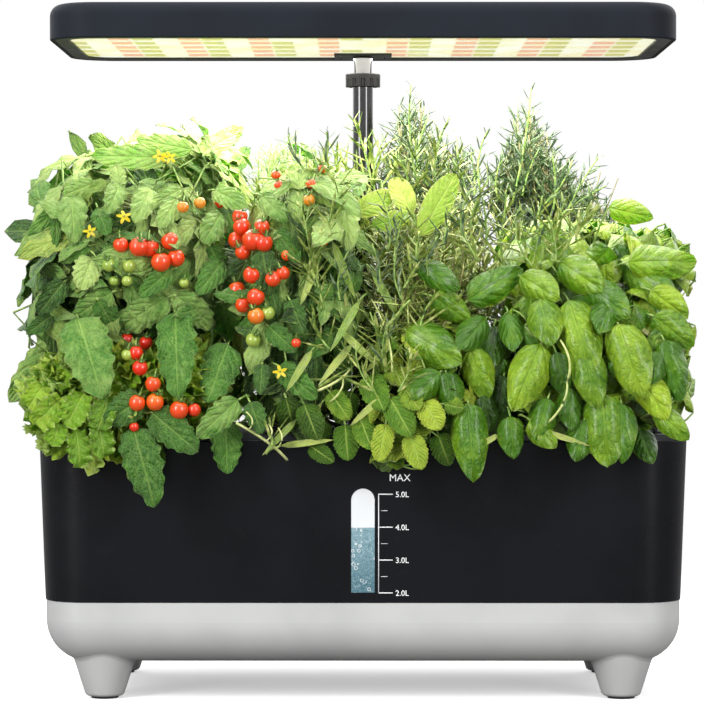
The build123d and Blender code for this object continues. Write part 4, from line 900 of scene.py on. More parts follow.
@dataclass
class Studio:
    """White studio: a pale floor, an even sky and softboxes."""

    sight: Sight
    boxes: tuple[Softbox, ...] = (
        Softbox("key_left", (-1.3, -1.5, 0.95), (0.6, 1.5), 38.0),
        Softbox("fill_right", (1.25, -1.6, 0.85), (0.45, 1.4), 25.0),
        Softbox("top", (0.0, -0.1, 1.9), (1.8, 1.8), 22.0),
        Softbox("back_left", (-1.2, 1.4, 1.1), (2.0, 1.6), 15.0),
        Softbox("back_right", (1.2, 1.4, 1.1), (2.0, 1.6), 15.0),
        Softbox(
            "lamp_glow", (0.0, 0.002, 0.3655), (0.32, 0.14), 1.5, (0.0, 0.002, 0.0),
            (1.0, 0.97, 0.9), "lamp_head",
        ),
    )

    def build(self) -> None:
        """Make camera, lights, sky and floor."""
        bpy.context.scene.view_settings.view_transform = "Standard"
        self.sight.set_up()
        for box in self.boxes:
            box.hang()
        self.sky()
        self.floor()

    def sky(self) -> None:
        """Make the sky: white where the camera sees it, and dimmer as a light."""
        world = bpy.data.worlds.new("sky")
        world.use_nodes = True
        bpy.context.scene.world = world
        kit = NodeKit(world.node_tree)
        back = next(n for n in world.node_tree.nodes if n.type == "BACKGROUND")
        back.inputs["Color"].default_value = WHITE
        back.inputs["Strength"].default_value = 0.42
        seen = kit.add("ShaderNodeBackground", {"Color": WHITE, "Strength": 1.0})
        path = kit.add("ShaderNodeLightPath").outputs
        clear = kit.math("MAXIMUM", path["Is Camera Ray"], path["Is Transmission Ray"])
        clear = kit.math("MAXIMUM", clear, path["Is Glossy Ray"])
        both = kit.add("ShaderNodeMixShader", {0: clear, 1: back.outputs[0], 2: seen.outputs[0]})
        output = next(n for n in world.node_tree.nodes if n.type == "OUTPUT_WORLD")
        kit.feed(output.inputs["Surface"], both.outputs[0])

    def floor(self) -> None:
        """Make the pale floor, which keeps the shadow and runs into the white sky."""
        made = Dressed("floor_white")
        kit = made.kit
        spot = kit.noise(made.place, 3.0)
        path = kit.add("ShaderNodeLightPath").outputs
        pale = kit.mix(spot, srgb(252, 252, 252), srgb(254, 254, 254))
        colour = kit.mix(path["Is Camera Ray"], srgb(114, 114, 114), pale)
        made.set(base_color=colour, roughness=kit.span(spot, 0.0, 1.0, 0.75, 0.85))
        glow = kit.mix(path["Is Camera Ray"], (0.0, 0.0, 0.0, 1.0), WHITE)
        made.set(specular_ior_level=0.1, emission_color=glow, emission_strength=0.42)
        away = kit.add("ShaderNodeVectorMath", {0: made.place}, operation="LENGTH").outputs["Value"]
        far = kit.times(kit.span(away, 0.4, 0.9), path["Is Camera Ray"])
        plain = kit.add("ShaderNodeEmission", {"Color": WHITE, "Strength": 1.0})
        both = kit.add("ShaderNodeMixShader", {0: far, 1: made.shader.outputs[0], 2: plain.outputs[0]})
        output = next(n for n in kit.tree.nodes if n.type == "OUTPUT_MATERIAL")
        kit.feed(output.inputs["Surface"], both.outputs[0])
        mesh = bpy.data.meshes.new("floor")
        reach = 12.0
        corners = [(x * reach, y * reach, 0) for x, y in ((-1, -1), (1, -1), (1, 1), (-1, 1))]
        mesh.from_pydata(corners, [], [(0, 1, 2, 3)])
        mesh.materials.append(made.material)
        floor = bpy.data.objects.new("floor", mesh)
        bpy.context.scene.collection.objects.link(floor)


# Meshes


def quad_mesh(name: str, points: Array, quads: Array) -> Mesh:
    """Make a smooth mesh from points and four-cornered faces.

    Args:
        name: The mesh's name.
        points: Its vertices.
        quads: Its faces, as rows of four vertex numbers.

    Returns:
        The mesh.
    """
    mesh = bpy.data.meshes.new(name)
    mesh.vertices.add(len(points))
    mesh.vertices.foreach_set("co", points.astype(np.float32).ravel())
    mesh.loops.add(quads.size)
    mesh.loops.foreach_set("vertex_index", quads.astype(np.int32).ravel())
    mesh.polygons.add(len(quads))
    mesh.polygons.foreach_set("loop_start", np.arange(0, quads.size, 4, dtype=np.int32))
    mesh.polygons.foreach_set("use_smooth", np.ones(len(quads), bool))
    mesh.update(calc_edges=True)
    return mesh


def points_of(mesh: Mesh) -> Array:
    """Return a mesh's vertices, as rows."""
    places = np.empty(len(mesh.vertices) * 3, np.float32)
    mesh.vertices.foreach_get("co", places)
    return places.reshape(-1, 3)


def evaluated(carrier: Piece) -> Mesh:
    """Return what an object's modifiers or letters make, as a plain mesh."""
    bpy.context.view_layer.update()
    return bpy.data.meshes.new_from_object(
        carrier.evaluated_get(bpy.context.evaluated_depsgraph_get())
    )


def place_piece(
    mesh: Mesh,
    finish: Material | None,
    replaced: Sequence[str] = (),
) -> Piece:
    """Put a mesh in the scene as a piece that rides on the base.

    Args:
        mesh: The mesh, whose name the piece takes.
        finish: Its material, or None where it has its own.
        replaced: CAD nodes that the piece stands for.

    Returns:
        The piece.
    """
    if finish:
        mesh.materials.clear()
        mesh.materials.append(finish)
    piece = bpy.data.objects.new(mesh.name, mesh)
    bpy.context.scene.collection.objects.link(piece)
    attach(piece, BASE)
    PLACED.append(piece)
    if replaced:
        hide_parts(*replaced)
    return piece


@dataclass(frozen=True)
class Room:
    """Where foliage has room: off the tank, the pole and the fill lid's swing."""

    reach: tuple[Point, ...] = ((0, 0.195, 0.01), (1, 0.116, 0.0085))
    front: float = 0.0932
    back: float = 0.0932
    side: float = 0.1812
    deck: float = RIM + 0.0008
    front_zone: float = -0.07
    side_zone: float = 0.165
    pole: Pair = (0.0, 0.061)
    pole_reach: float = 0.0084
    pole_low: float = 0.14
    lid_left: float = 0.132
    lid_side: float = 0.031
    lid_top: float = 0.189
    push: float = 0.03
    rise: float = 0.012
    over_deck: float = 0.004
    over_rim: float = 0.001
    before: float = -0.094
    beside: float = 0.182
    corner: Pair = (0.155, 0.2)
    window: Point = (0.02, 0.024, 0.131)
    lid_zone: Point = (0.126, 0.037, 0.193)

    def inside(self, x: Array, y: Array, z: Array) -> tuple[Array, Array]:
        """Return where the tank's front stands, and which points are in the tank."""
        face = -(self.front - (RIM - z) * SLOPE)
        return face, (z < self.deck) & (np.abs(x) < self.side) & (y > face) & (y < self.back)

    def keep_out(self, points: Array) -> Array:
        """Push foliage points out of the tank, the pole and the fill lid's swing.

        Args:
            points: The points, as rows.

        Returns:
            The points, moved where they were inside.
        """
        made = points.copy()
        for axis, limit, soft in self.reach:
            over = np.maximum(np.abs(made[:, axis]) - limit, 0)
            kept = np.minimum(np.abs(made[:, axis]), limit) + soft * np.tanh(over / soft)
            made[:, axis] = np.sign(made[:, axis]) * kept
        x, y, z = made.T
        face, inside = self.inside(x, y, z)
        front = inside & (y < self.front_zone)
        flank = inside & ~front & (np.abs(x) > self.side_zone)
        above = inside & ~front & ~flank
        made[front, 1] = face[front]
        made[flank, 0] = np.sign(x[flank]) * self.side
        made[above, 2] = self.deck
        away = made[:, :2] - np.array(self.pole)
        reach = np.linalg.norm(away, axis=1)
        near = (reach < self.pole_reach) & (made[:, 2] > self.pole_low)
        out = away[near] / reach[near, None]
        made[near, :2] = np.array(self.pole) + out * self.pole_reach
        lid = (x > self.lid_left) & (np.abs(y) < self.lid_side) & (z < self.lid_top)
        made[lid, 1] = np.where(made[lid, 1] < 0, -self.lid_side, self.lid_side)
        return made

    def settled(self, leaves: Array) -> Array:
        """Shift whole leaves off the tank's front and the deck, so that they keep their form.

        Args:
            leaves: Points by leaf and place.

        Returns:
            The points, moved leaf by leaf.
        """
        made = leaves.copy()
        x, y, z = made[..., 0], made[..., 1], made[..., 2]
        face, inside = self.inside(x, y, z)
        front = inside & (y < self.front_zone)
        push = np.where(front, y - face, 0.0).max(axis=1)
        made[..., 1] -= np.minimum(push, self.push)[:, None]
        rise = np.where(inside & ~front, self.deck - z, 0.0).max(axis=1)
        made[..., 2] += np.minimum(rise, self.rise)[:, None]
        return made

    def is_open(self, places: Array, lowest: float, deep: bool) -> Array:
        """Tell which places are off the deck, the window and the lid, and not too low.

        Args:
            places: The places, as rows.
            lowest: How low foliage may hang in front.
            deep: Whether the leaves lie deep in their plant.

        Returns:
            Whether each place is open.
        """
        x, y, z = places.T
        start, climb = self.corner
        middle, half, top = self.window
        left, side, high = self.lid_zone
        fits = (z > RIM + self.over_deck) | (not deep)
        fits &= z > lowest + climb * np.maximum(np.abs(x) - start, 0.0)
        fits &= (z > RIM + self.over_rim) | (y < self.before) | (np.abs(x) > self.beside)
        fits &= (z > top) | (np.abs(x - middle) > half)
        return fits & ((x < left) | (np.abs(y) > side) | (z > high))


ROOM = Room()


@dataclass(frozen=True)
class Blade:
    """The form of a leaf blade, as a grid of rows from base to tip and columns across."""

    rows: int = 6
    columns: int = 4
    widest: float = 0.4
    taper: float = 1.0
    teeth: float = 0.0
    tooth: float = 0.0
    lobes: float = 0.0
    lobe: float = 0.0
    fold: float = 0.2
    cup: float = 0.0
    arch: float = 0.7
    twist: float = 0.35
    ruffle: float = 0.02
    ripples: float = 2.5
    frill: float = 2.0
    wave: float = 0.02
    thick: float = 0.0003

    def grid(
        self, length: Array, width: Array, arch: Array, chance: Chance
    ) -> tuple[Array, Array]:
        """Shape many blades at once, each in its own frame of across, along and out.

        Args:
            length: Length of each blade.
            width: Width of each blade.
            arch: How far each blade bends back from base to tip, in radians.
            chance: Random numbers.

        Returns:
            The middle surfaces and their outward directions, by blade, row and column.
        """
        count = len(length)
        along = np.linspace(0.0, 1.0, self.rows + 1)
        across = np.linspace(-1.0, 1.0, self.columns + 1)
        low, high = self.taper * self.widest, self.taper * (1 - self.widest)
        outline = along**low * (1 - along) ** high
        outline = np.maximum(outline / outline.max(), 0.035)
        side = np.abs(across)[None, None, :]
        saw = self.tooth * ((along * self.teeth) % 1.0 - 0.3)
        offset = chance.random((count, 1, 1)) + np.where(across < 0, 0.37, 0.0)[None, None, :]
        wave = -self.lobe * (0.5 + 0.5 * np.cos(TAU * (along[None, :, None] * self.lobes + offset)))
        trim = 1 + (saw[None, :, None] + wave) * side**3
        half = (width[:, None] / 2 * outline[None, :])[:, :, None]
        x = across[None, None, :] * half * trim
        phase = chance.random((count, 1, 1)) * TAU
        flip = np.where(across < 0, 1.9, 0.0)[None, None, :]
        ripple = np.sin(TAU * self.ripples * along[None, :, None] + phase + flip)
        lift = (self.fold + 0.25 * (chance.random((count, 1, 1)) - 0.5)) * np.abs(x)
        lift = lift + self.cup * x**2 / (width[:, None, None] / 2)
        lift = lift + self.ruffle * length[:, None, None] * side**self.frill * ripple
        spots = chance.random((2, count, 1, 1)) * TAU
        swell = np.sin(TAU * 1.7 * along[None, :, None] + spots[0]) * np.cos(
            2.6 * across[None, None, :] + spots[1]
        )
        lift = lift + self.wave * length[:, None, None] * swell * along[None, :, None]
        turn = (chance.random((count, 1, 1)) - 0.5) * 2 * self.twist * along[None, :, None]
        x, lift = x * np.cos(turn) - lift * np.sin(turn), x * np.sin(turn) + lift * np.cos(turn)
        bend = arch[:, None] * along[None, :]
        middle = (bend[:, 1:] + bend[:, :-1]) / 2
        step = (length / self.rows)[:, None]
        start = np.zeros((count, 1))
        y = np.concatenate([start, np.cumsum(np.cos(middle) * step, axis=1)], axis=1)
        z = -np.concatenate([start, np.cumsum(np.sin(middle) * step, axis=1)], axis=1)
        sin, cos = np.sin(bend)[:, :, None], np.cos(bend)[:, :, None]
        surface = np.stack([x, y[:, :, None] + lift * sin, z[:, :, None] + lift * cos], axis=-1)
        flat = np.zeros_like(x)
        facing = [-np.sin(turn) + flat, sin * np.cos(turn) + flat, cos * np.cos(turn) + flat]
        normal = np.stack(facing, axis=-1)
        return surface, normal

    def pattern(self) -> tuple[Array, Array, Array, Array]:
        """Return one blade's faces, which of them are below, its rim and its UV map."""
        rows, columns = self.rows + 1, self.columns + 1
        top = np.arange(rows * columns).reshape(rows, columns)
        under = top.copy()
        inner = (rows - 2) * (columns - 2)
        under[1:-1, 1:-1] = rows * columns + np.arange(inner).reshape(rows - 2, columns - 2)
        faces = []
        for sheet, order in ((top, 1), (under, -1)):
            face = np.stack([sheet[:-1, :-1], sheet[:-1, 1:], sheet[1:, 1:], sheet[1:, :-1]], axis=-1)
            faces.append(face.reshape(-1, 4)[:, ::order])
        rim = np.ones((rows, columns), bool)
        rim[1:-1, 1:-1] = False
        rim = np.concatenate([rim.ravel(), np.zeros(inner, bool)])
        along, across = np.meshgrid(
            np.linspace(0, 1, rows), np.linspace(0, 1, columns), indexing="ij"
        )
        chart = np.stack([along, across], axis=-1)
        chart = np.concatenate([chart.reshape(-1, 2), chart[1:-1, 1:-1].reshape(-1, 2)])
        below = np.repeat([False, True], len(faces[0]))
        return np.concatenate(faces), below, rim, chart


@dataclass
class Leaves:
    """Gathers leaf blades of one finish and turns them into one piece of closed thin shells."""

    name: str
    points: list[Array] = field(default_factory=list)
    faces: list[Array] = field(default_factory=list)
    below: list[Array] = field(default_factory=list)
    rims: list[Array] = field(default_factory=list)
    charts: list[Array] = field(default_factory=list)
    tones: list[Array] = field(default_factory=list)
    count: int = 0

    def add(
        self,
        blade: Blade,
        base: Array,
        along: Array,
        out: Array,
        length: Array,
        width: Array,
        tint: Array,
        chance: Chance,
        arch: Array | None = None,
        age: Array | None = None,
    ) -> None:
        """Add blades.

        Args:
            blade: Their form.
            base: Where each starts.
            along: The way each points at its base.
            out: The way each one's upper side faces.
            length: Their lengths.
            width: Their widths.
            tint: How light each is, from 0 to 1.
            chance: Random numbers.
            arch: How far each bends back, or None for the form's own.
            age: How yellow each edge is, from 0 to 1.
        """
        count = len(base)
        if arch is None:
            arch = blade.arch * (0.5 + chance.random(count))
        if age is None:
            age = np.clip(chance.random(count) * 4 - 3.4, 0, 1)
        surface, normal = blade.grid(length, width, arch, chance)
        along = unit(along)
        across = unit(np.cross(along, out))
        axes = np.stack([across, along, np.cross(across, along)], axis=1)
        middle = np.einsum("nrcl,nlk->nrck", surface, axes) + base[:, None, None, :]
        normal = np.einsum("nrcl,nlk->nrck", normal, axes) * blade.thick / 2
        faces, below, rim, chart = blade.pattern()
        top = middle.copy()
        top[:, 1:-1, 1:-1] += normal[:, 1:-1, 1:-1]
        under = (middle - normal)[:, 1:-1, 1:-1]
        points = np.concatenate([top.reshape(count, -1, 3), under.reshape(count, -1, 3)], axis=1)
        size = points.shape[1]
        start = self.count + size * np.arange(count)
        self.points.append(ROOM.keep_out(ROOM.settled(points).reshape(-1, 3)))
        self.faces.append((faces[None] + start[:, None, None]).reshape(-1, 4))
        self.below.append(np.tile(below, count))
        self.rims.append(np.tile(rim, count))
        self.charts.append(np.tile(chart, (count, 1)))
        tone = np.stack([tint, age], axis=-1)
        self.tones.append(np.repeat(tone, size, axis=0))
        self.count += size * count

    def build(
        self, finish: Material, slot: str | None, replaced: Sequence[str] = ()
    ) -> Piece:
        """Make the piece.

        Args:
            finish: Its material.
            slot: Not used.
            replaced: CAD nodes that it stands for.

        Returns:
            The piece.
        """
        faces = np.concatenate(self.faces)
        mesh = quad_mesh(self.name, np.concatenate(self.points), faces)
        corners = faces.ravel()
        chart = mesh.uv_layers.new(name="blade")
        places = np.concatenate(self.charts)[corners]
        chart.uv.foreach_set("vector", places.astype(np.float32).ravel())
        tone = np.ones((len(corners), 4), np.float32)
        tone[:, :2] = np.concatenate(self.tones)[corners]
        tone[:, 2] = np.repeat(np.concatenate(self.below), 4)
        layer = mesh.attributes.new("tone", "FLOAT_COLOR", "CORNER")
        layer.data.foreach_set("color", tone.ravel())
        edges = np.empty(len(mesh.edges) * 2, np.int32)
        mesh.edges.foreach_get("vertices", edges)
        sharp = np.concatenate(self.rims)[edges.reshape(-1, 2)].all(axis=1)
        mark = mesh.attributes.new("sharp_edge", "BOOLEAN", "EDGE")
        mark.data.foreach_set("value", sharp)
        return place_piece(mesh, finish, replaced)


@dataclass
class Stalks:
    """Gathers stems and stalks, as closed four-sided tubes, and turns them into one piece."""

    name: str
    sides: int = 4
    points: list[Array] = field(default_factory=list)
    faces: list[Array] = field(default_factory=list)
    count: int = 0

    def add(self, lines: Array, start: Array | float, end: Array | float) -> None:
        """Add tubes along lines of equally many points.

        Args:
            lines: Points by tube and place.
            start: Radius at the start of each.
            end: Radius at the end of each.
        """
        count, steps, _ = lines.shape
        lines = ROOM.keep_out(lines.reshape(-1, 3)).reshape(lines.shape)
        heading = unit(np.gradient(lines, axis=1))
        guide = np.where(np.abs(heading[..., 2:3]) > 0.9, [[[1.0, 0.0, 0.0]]], [[[0.0, 0.0, 1.0]]])
        first = unit(np.cross(heading, guide))
        second = np.cross(heading, first)
        share = np.linspace(0, 1, steps)[None, :]
        radius = np.broadcast_to(start, count)[:, None] * (1 - share)
        radius = radius + np.broadcast_to(end, count)[:, None] * share
        angle = np.arange(self.sides) * TAU / self.sides
        ring = first[:, :, None] * np.cos(angle)[:, None] + second[:, :, None] * np.sin(angle)[:, None]
        points = lines[:, :, None] + ring * radius[:, :, None, None]
        spots = np.arange(steps * self.sides).reshape(steps, self.sides)
        beside = np.roll(spots, -1, axis=1)
        walls = np.stack([spots[:-1], beside[:-1], beside[1:], spots[1:]], axis=-1).reshape(-1, 4)
        faces = np.concatenate([walls, spots[0][None, ::-1], spots[-1][None, :]])
        size = steps * self.sides
        offset = self.count + size * np.arange(count)
        self.points.append(points.reshape(-1, 3))
        self.faces.append((faces[None] + offset[:, None, None]).reshape(-1, 4))
        self.count += size * count

    def build(self, finish: Material, slot: str | None) -> Piece:
        """Make the piece."""
        mesh = quad_mesh(self.name, np.concatenate(self.points), np.concatenate(self.faces))
        return place_piece(mesh, finish)


def bowed(start: Array, end: Array, bow: Array, steps: int = 6) -> Array:
    """Return lines from start to end, each bowed by its own offset in the middle."""
    share = np.linspace(0, 1, steps)[None, :, None]
    straight = start[:, None] * (1 - share) + end[:, None] * share
    return straight + 4 * share * (1 - share) * bow[:, None]


def jitter(chance: Chance, count: int, axes: int = 3) -> Array:
    """Return random offsets between minus and plus a half."""
    return chance.random((count, axes)) - 0.5


def feet(pod: Pair, count: int, chance: Chance, spread: float = 0.006) -> Array:
    """Return where a plant's stems leave its pod."""
    flat = np.concatenate([spread * jitter(chance, count, 2), np.zeros((count, 1))], axis=1)
    return np.array([*pod, POD_TOP]) + flat


class Canopy:
    """The space of one plant: where its foliage's outside is, and which way is out."""

    trees: dict[str, BVHTree] = {}

    def __init__(self, node: str, seed: int) -> None:
        """Read the plant's solid.

        Args:
            node: The plant's CAD node.
            seed: Start of its random numbers.
        """
        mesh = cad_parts[node].data
        mesh.calc_loop_triangles()
        corners = np.empty(len(mesh.loop_triangles) * 3, np.int32)
        mesh.loop_triangles.foreach_get("vertices", corners)
        self.corners = points_of(mesh)[corners.reshape(-1, 3)].astype(float)
        first, second, third = self.corners.transpose(1, 0, 2)
        cross = np.cross(second - first, third - first)
        self.areas = np.linalg.norm(cross, axis=1) / 2
        self.ways = unit(cross)
        self.node = node
        self.chance = np.random.default_rng(seed)
        lowest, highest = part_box(node)
        self.middle = np.array((lowest + highest) / 2)
        self.low, self.high = np.array(lowest), np.array(highest)
        self.area = float(self.areas.sum())

    @classmethod
    def survey(cls, nodes: Sequence[str]) -> None:
        """Note every plant's solid, so that each knows its neighbours."""
        for node in nodes:
            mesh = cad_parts[node].data
            points = [vertex.co[:] for vertex in mesh.vertices]
            faces = [face.vertices[:] for face in mesh.polygons]
            cls.trees[node] = BVHTree.FromPolygons(points, faces)

    def hidden(self, place: Array, way: Array) -> bool:
        """Tell whether a neighbour's foliage covers a place."""
        start, heading = Vector(place + way * 2e-4), Vector(way)
        return any(
            tree.ray_cast(start, heading, 0.014)[0] is not None
            for node, tree in self.trees.items()
            if node != self.node
        )

    def scatter(self, density: float) -> tuple[Array, Array]:
        """Spread points over the parts of the outside that show.

        Args:
            density: Points for each square centimetre.

        Returns:
            The points and their outward directions.
        """
        chance = self.chance
        count = int(self.area * 1e4 * density)
        picked = chance.choice(len(self.areas), count, p=self.areas / self.areas.sum())
        first, second = chance.random((2, count, 1))
        over = first + second > 1
        first, second = np.where(over, 1 - first, first), np.where(over, 1 - second, second)
        corner = self.corners[picked]
        places = corner[:, 0] + first * (corner[:, 1] - corner[:, 0])
        places = places + second * (corner[:, 2] - corner[:, 0])
        ways = self.ways[picked]
        off_deck = (places[:, 2] > RIM + 0.007) | (places[:, 1] < ROOM.before)
        showing = (ways[:, 2] > -0.5) | (chance.random(count) < 0.3)
        kept = [
            bool(a and b) and (not self.hidden(p, w) or chance.random() < 0.12)
            for a, b, p, w in zip(off_deck, showing, places, ways)
        ]
        return places[kept], ways[kept]


# Plants

BASIL = Blade(6, 4, 0.38, 1.05, fold=0.42, cup=-1.15, arch=1.0, ruffle=0.02, wave=0.04)
MINT = Blade(8, 4, 0.4, 0.9, teeth=4, tooth=0.28, fold=0.2, cup=-0.25, arch=0.7, ruffle=0.02)
LEAFLET = Blade(8, 4, 0.36, 0.85, lobes=3.5, lobe=0.3, fold=0.26, cup=-0.4, arch=0.8, ruffle=0.04)
FINE_BASIL = replace(BASIL, rows=16, columns=12)
FINE_MINT = replace(MINT, rows=20, columns=8, teeth=9, tooth=0.2)
FINE_LEAFLET = replace(LEAFLET, rows=22, columns=12, lobes=5.5, lobe=0.17, ripples=4)
FINE_SAGE = Blade(14, 6, 0.5, 1.1, fold=0.15, cup=-0.15, arch=0.5, ruffle=0.01)
NARROW = Blade(6, 2, 0.38, 1.1, fold=0.25, arch=0.6, twist=0.7, ruffle=0.01)
FRILL = Blade(
    22, 8, 0.6, 0.7, teeth=7, tooth=0.2, fold=0.1, cup=0.3, arch=0.9, ruffle=0.13,
    ripples=4.5, frill=2.2, wave=0.08,
)


@dataclass(frozen=True)
class Layer:
    """One layer of leaves over a canopy: how many, how deep, how large and how they hang."""

    density: float
    depth: float
    length: Pair
    slim: float
    tint: Pair
    droop: float = 0.5
    rise: float = 0.5
    loose: float = 1.3


@dataclass(frozen=True)
class PlantSpec:
    """A broad-leaved plant: its node, pod, leaf form, finish and layers."""

    node: str
    pod: Pair
    blade: Blade
    finish: str
    slot: str
    layers: tuple[Layer, ...]
    seed: int
    compound: bool = False
    stalk: float = 0.0006
    lowest: float = 0.12


@dataclass
class BroadPlant:
    """A plant of broad leaves: layers over its canopy, with stalks that lead in to its stems."""

    spec: PlantSpec
    finishes: Finishes
    stem_count: int = 7
    over: float = 0.006  # How far leaves may pass the canopy.
    deep: float = 0.01  # From which depth a layer counts as deep.

    def __post_init__(self) -> None:
        """Read the plant's solid and start its pieces."""
        self.canopy = Canopy(self.spec.node, self.spec.seed)
        self.leaves = Leaves(self.spec.node + "_leaves")
        self.stalks = Stalks(self.spec.node + "_stems")
        self.chance = np.random.default_rng(self.spec.seed + 500)

    def build(self) -> None:
        """Make the plant's pieces."""
        for layer in self.spec.layers:
            self.cover(layer)
        self.stems()
        spec = self.spec
        self.leaves.build(self.finishes[spec.finish], spec.slot, (spec.node,))
        self.stalks.build(self.finishes["soft_stem"], spec.slot)

    def cover(self, layer: Layer) -> None:
        """Spread one layer of leaves over the canopy.

        Args:
            layer: The layer.
        """
        chance = self.chance
        places, ways = self.canopy.scatter(layer.density)
        count = len(places)
        out = unit(ways + 0.45 * UP + 0.75 * jitter(chance, count))
        outward = places - self.canopy.middle
        outward[:, 2] *= 0.4
        along = unit(outward) * 0.7 + layer.loose * jitter(chance, count)
        rise = layer.rise * chance.random((count, 1)) - layer.droop * chance.random((count, 1))
        along = along + UP * rise
        along = unit(along - ways * np.sum(along * ways, axis=1, keepdims=True) * 0.85)
        length = chance.uniform(*layer.length, count)
        width = length * layer.slim * chance.uniform(0.85, 1.15, count)
        base = places - along * length[:, None] * 0.5 - ways * layer.depth
        base = base - ways * chance.uniform(0, 0.004, (count, 1))
        # Leaves high in the canopy, under the lamp, are tinted paler: painted lamp light.
        lift = np.clip((places[:, 2] - 0.235) / 0.09, 0.0, 1.0)
        tint = chance.uniform(*layer.tint, count) + 0.4 * lift
        fits = self.fits(base, along * length[:, None], max(layer.depth, 0.0))
        base, along, out, length = base[fits], along[fits], out[fits], length[fits]
        width, tint = width[fits], tint[fits]
        if self.spec.compound:
            self.compound(base, along, out, length, width, tint)
        else:
            self.leaves.add(self.spec.blade, base, along, out, length, width, tint, chance)
            self.lead_in(base, along, length)

    def fits(self, base: Array, reach: Array, depth: float) -> Array:
        """Tell which leaves stay near the canopy, and off the deck, the window and the lid.

        Args:
            base: Where each leaf starts.
            reach: How far and which way each one goes.
            depth: How deep the layer lies.

        Returns:
            Whether each leaf fits.
        """
        low, high = self.canopy.low, self.canopy.high
        tip = base + reach * 0.9
        edge = self.over - 0.6 * depth
        slack = np.array([edge, edge, -0.008])
        fits = np.all((tip > low - slack) & (tip < high + edge), axis=1)
        fits &= np.maximum(base[:, 2], tip[:, 2]) < high[2] + self.over - 1.6 * depth
        for places in (base, base + reach * 0.5, tip):
            fits &= ROOM.is_open(places, self.spec.lowest, depth >= self.deep)
        return fits

    def compound(
        self,
        base: Array,
        along: Array,
        out: Array,
        length: Array,
        width: Array,
        tint: Array,
    ) -> None:
        """Add leaves of five leaflets each.

        Args:
            base: Where each leaf starts.
            along: The way each one points.
            out: The way each one's upper side faces.
            length: Their lengths.
            width: Their leaflets' widths.
            tint: How light each is.
        """
        chance = self.chance
        side = unit(np.cross(along, out))
        count = len(base)
        pairs = [(place, turn, share) for place, share in ((0.5, 0.48), (0.2, 0.4)) for turn in (1, -1)]
        for place, turn, share in ((0.55, 0, 0.62), *pairs):
            angle = turn * chance.uniform(0.8, 1.25, (count, 1))
            heading = along * np.cos(angle) + side * np.sin(angle)
            heading = heading + 0.25 * jitter(chance, count)
            start = base + along * (length * place)[:, None]
            tilt = out + 0.5 * jitter(chance, count)
            self.leaves.add(
                self.spec.blade, start, heading, tilt, length * share, width * share,
                tint + 0.15 * (chance.random(count) - 0.5), chance,
            )
        self.stalks.add(
            bowed(base, base + along * (length * 0.56)[:, None], np.zeros_like(base), 3),
            self.spec.stalk, self.spec.stalk * 0.7,
        )
        self.lead_in(base, along, length)

    def lead_in(self, base: Array, along: Array, length: Array) -> None:
        """Add the stalk that carries each leaf, from inside the canopy to its base."""
        inward = self.canopy.middle - base
        inward[:, 2] -= 0.03
        start = base + unit(inward) * (length * 0.55)[:, None] - along * (length * 0.25)[:, None]
        lines = bowed(start, base, -along * 0.002, 4)
        self.stalks.add(lines, self.spec.stalk, self.spec.stalk * 0.75)

    def stems(self) -> None:
        """Add the stems that rise from the pod into the canopy."""
        chance, count = self.chance, self.stem_count
        start = feet(self.spec.pod, count, chance)
        share = chance.uniform(0.2, 0.8, (count, 3))
        end = self.canopy.low * (1 - share) + self.canopy.high * share
        end[:, 2] = np.maximum(end[:, 2], RIM + 0.03)
        bow = 0.01 * jitter(chance, count)
        self.stalks.add(bowed(start, end, bow, 8), 0.0015, 0.0008)


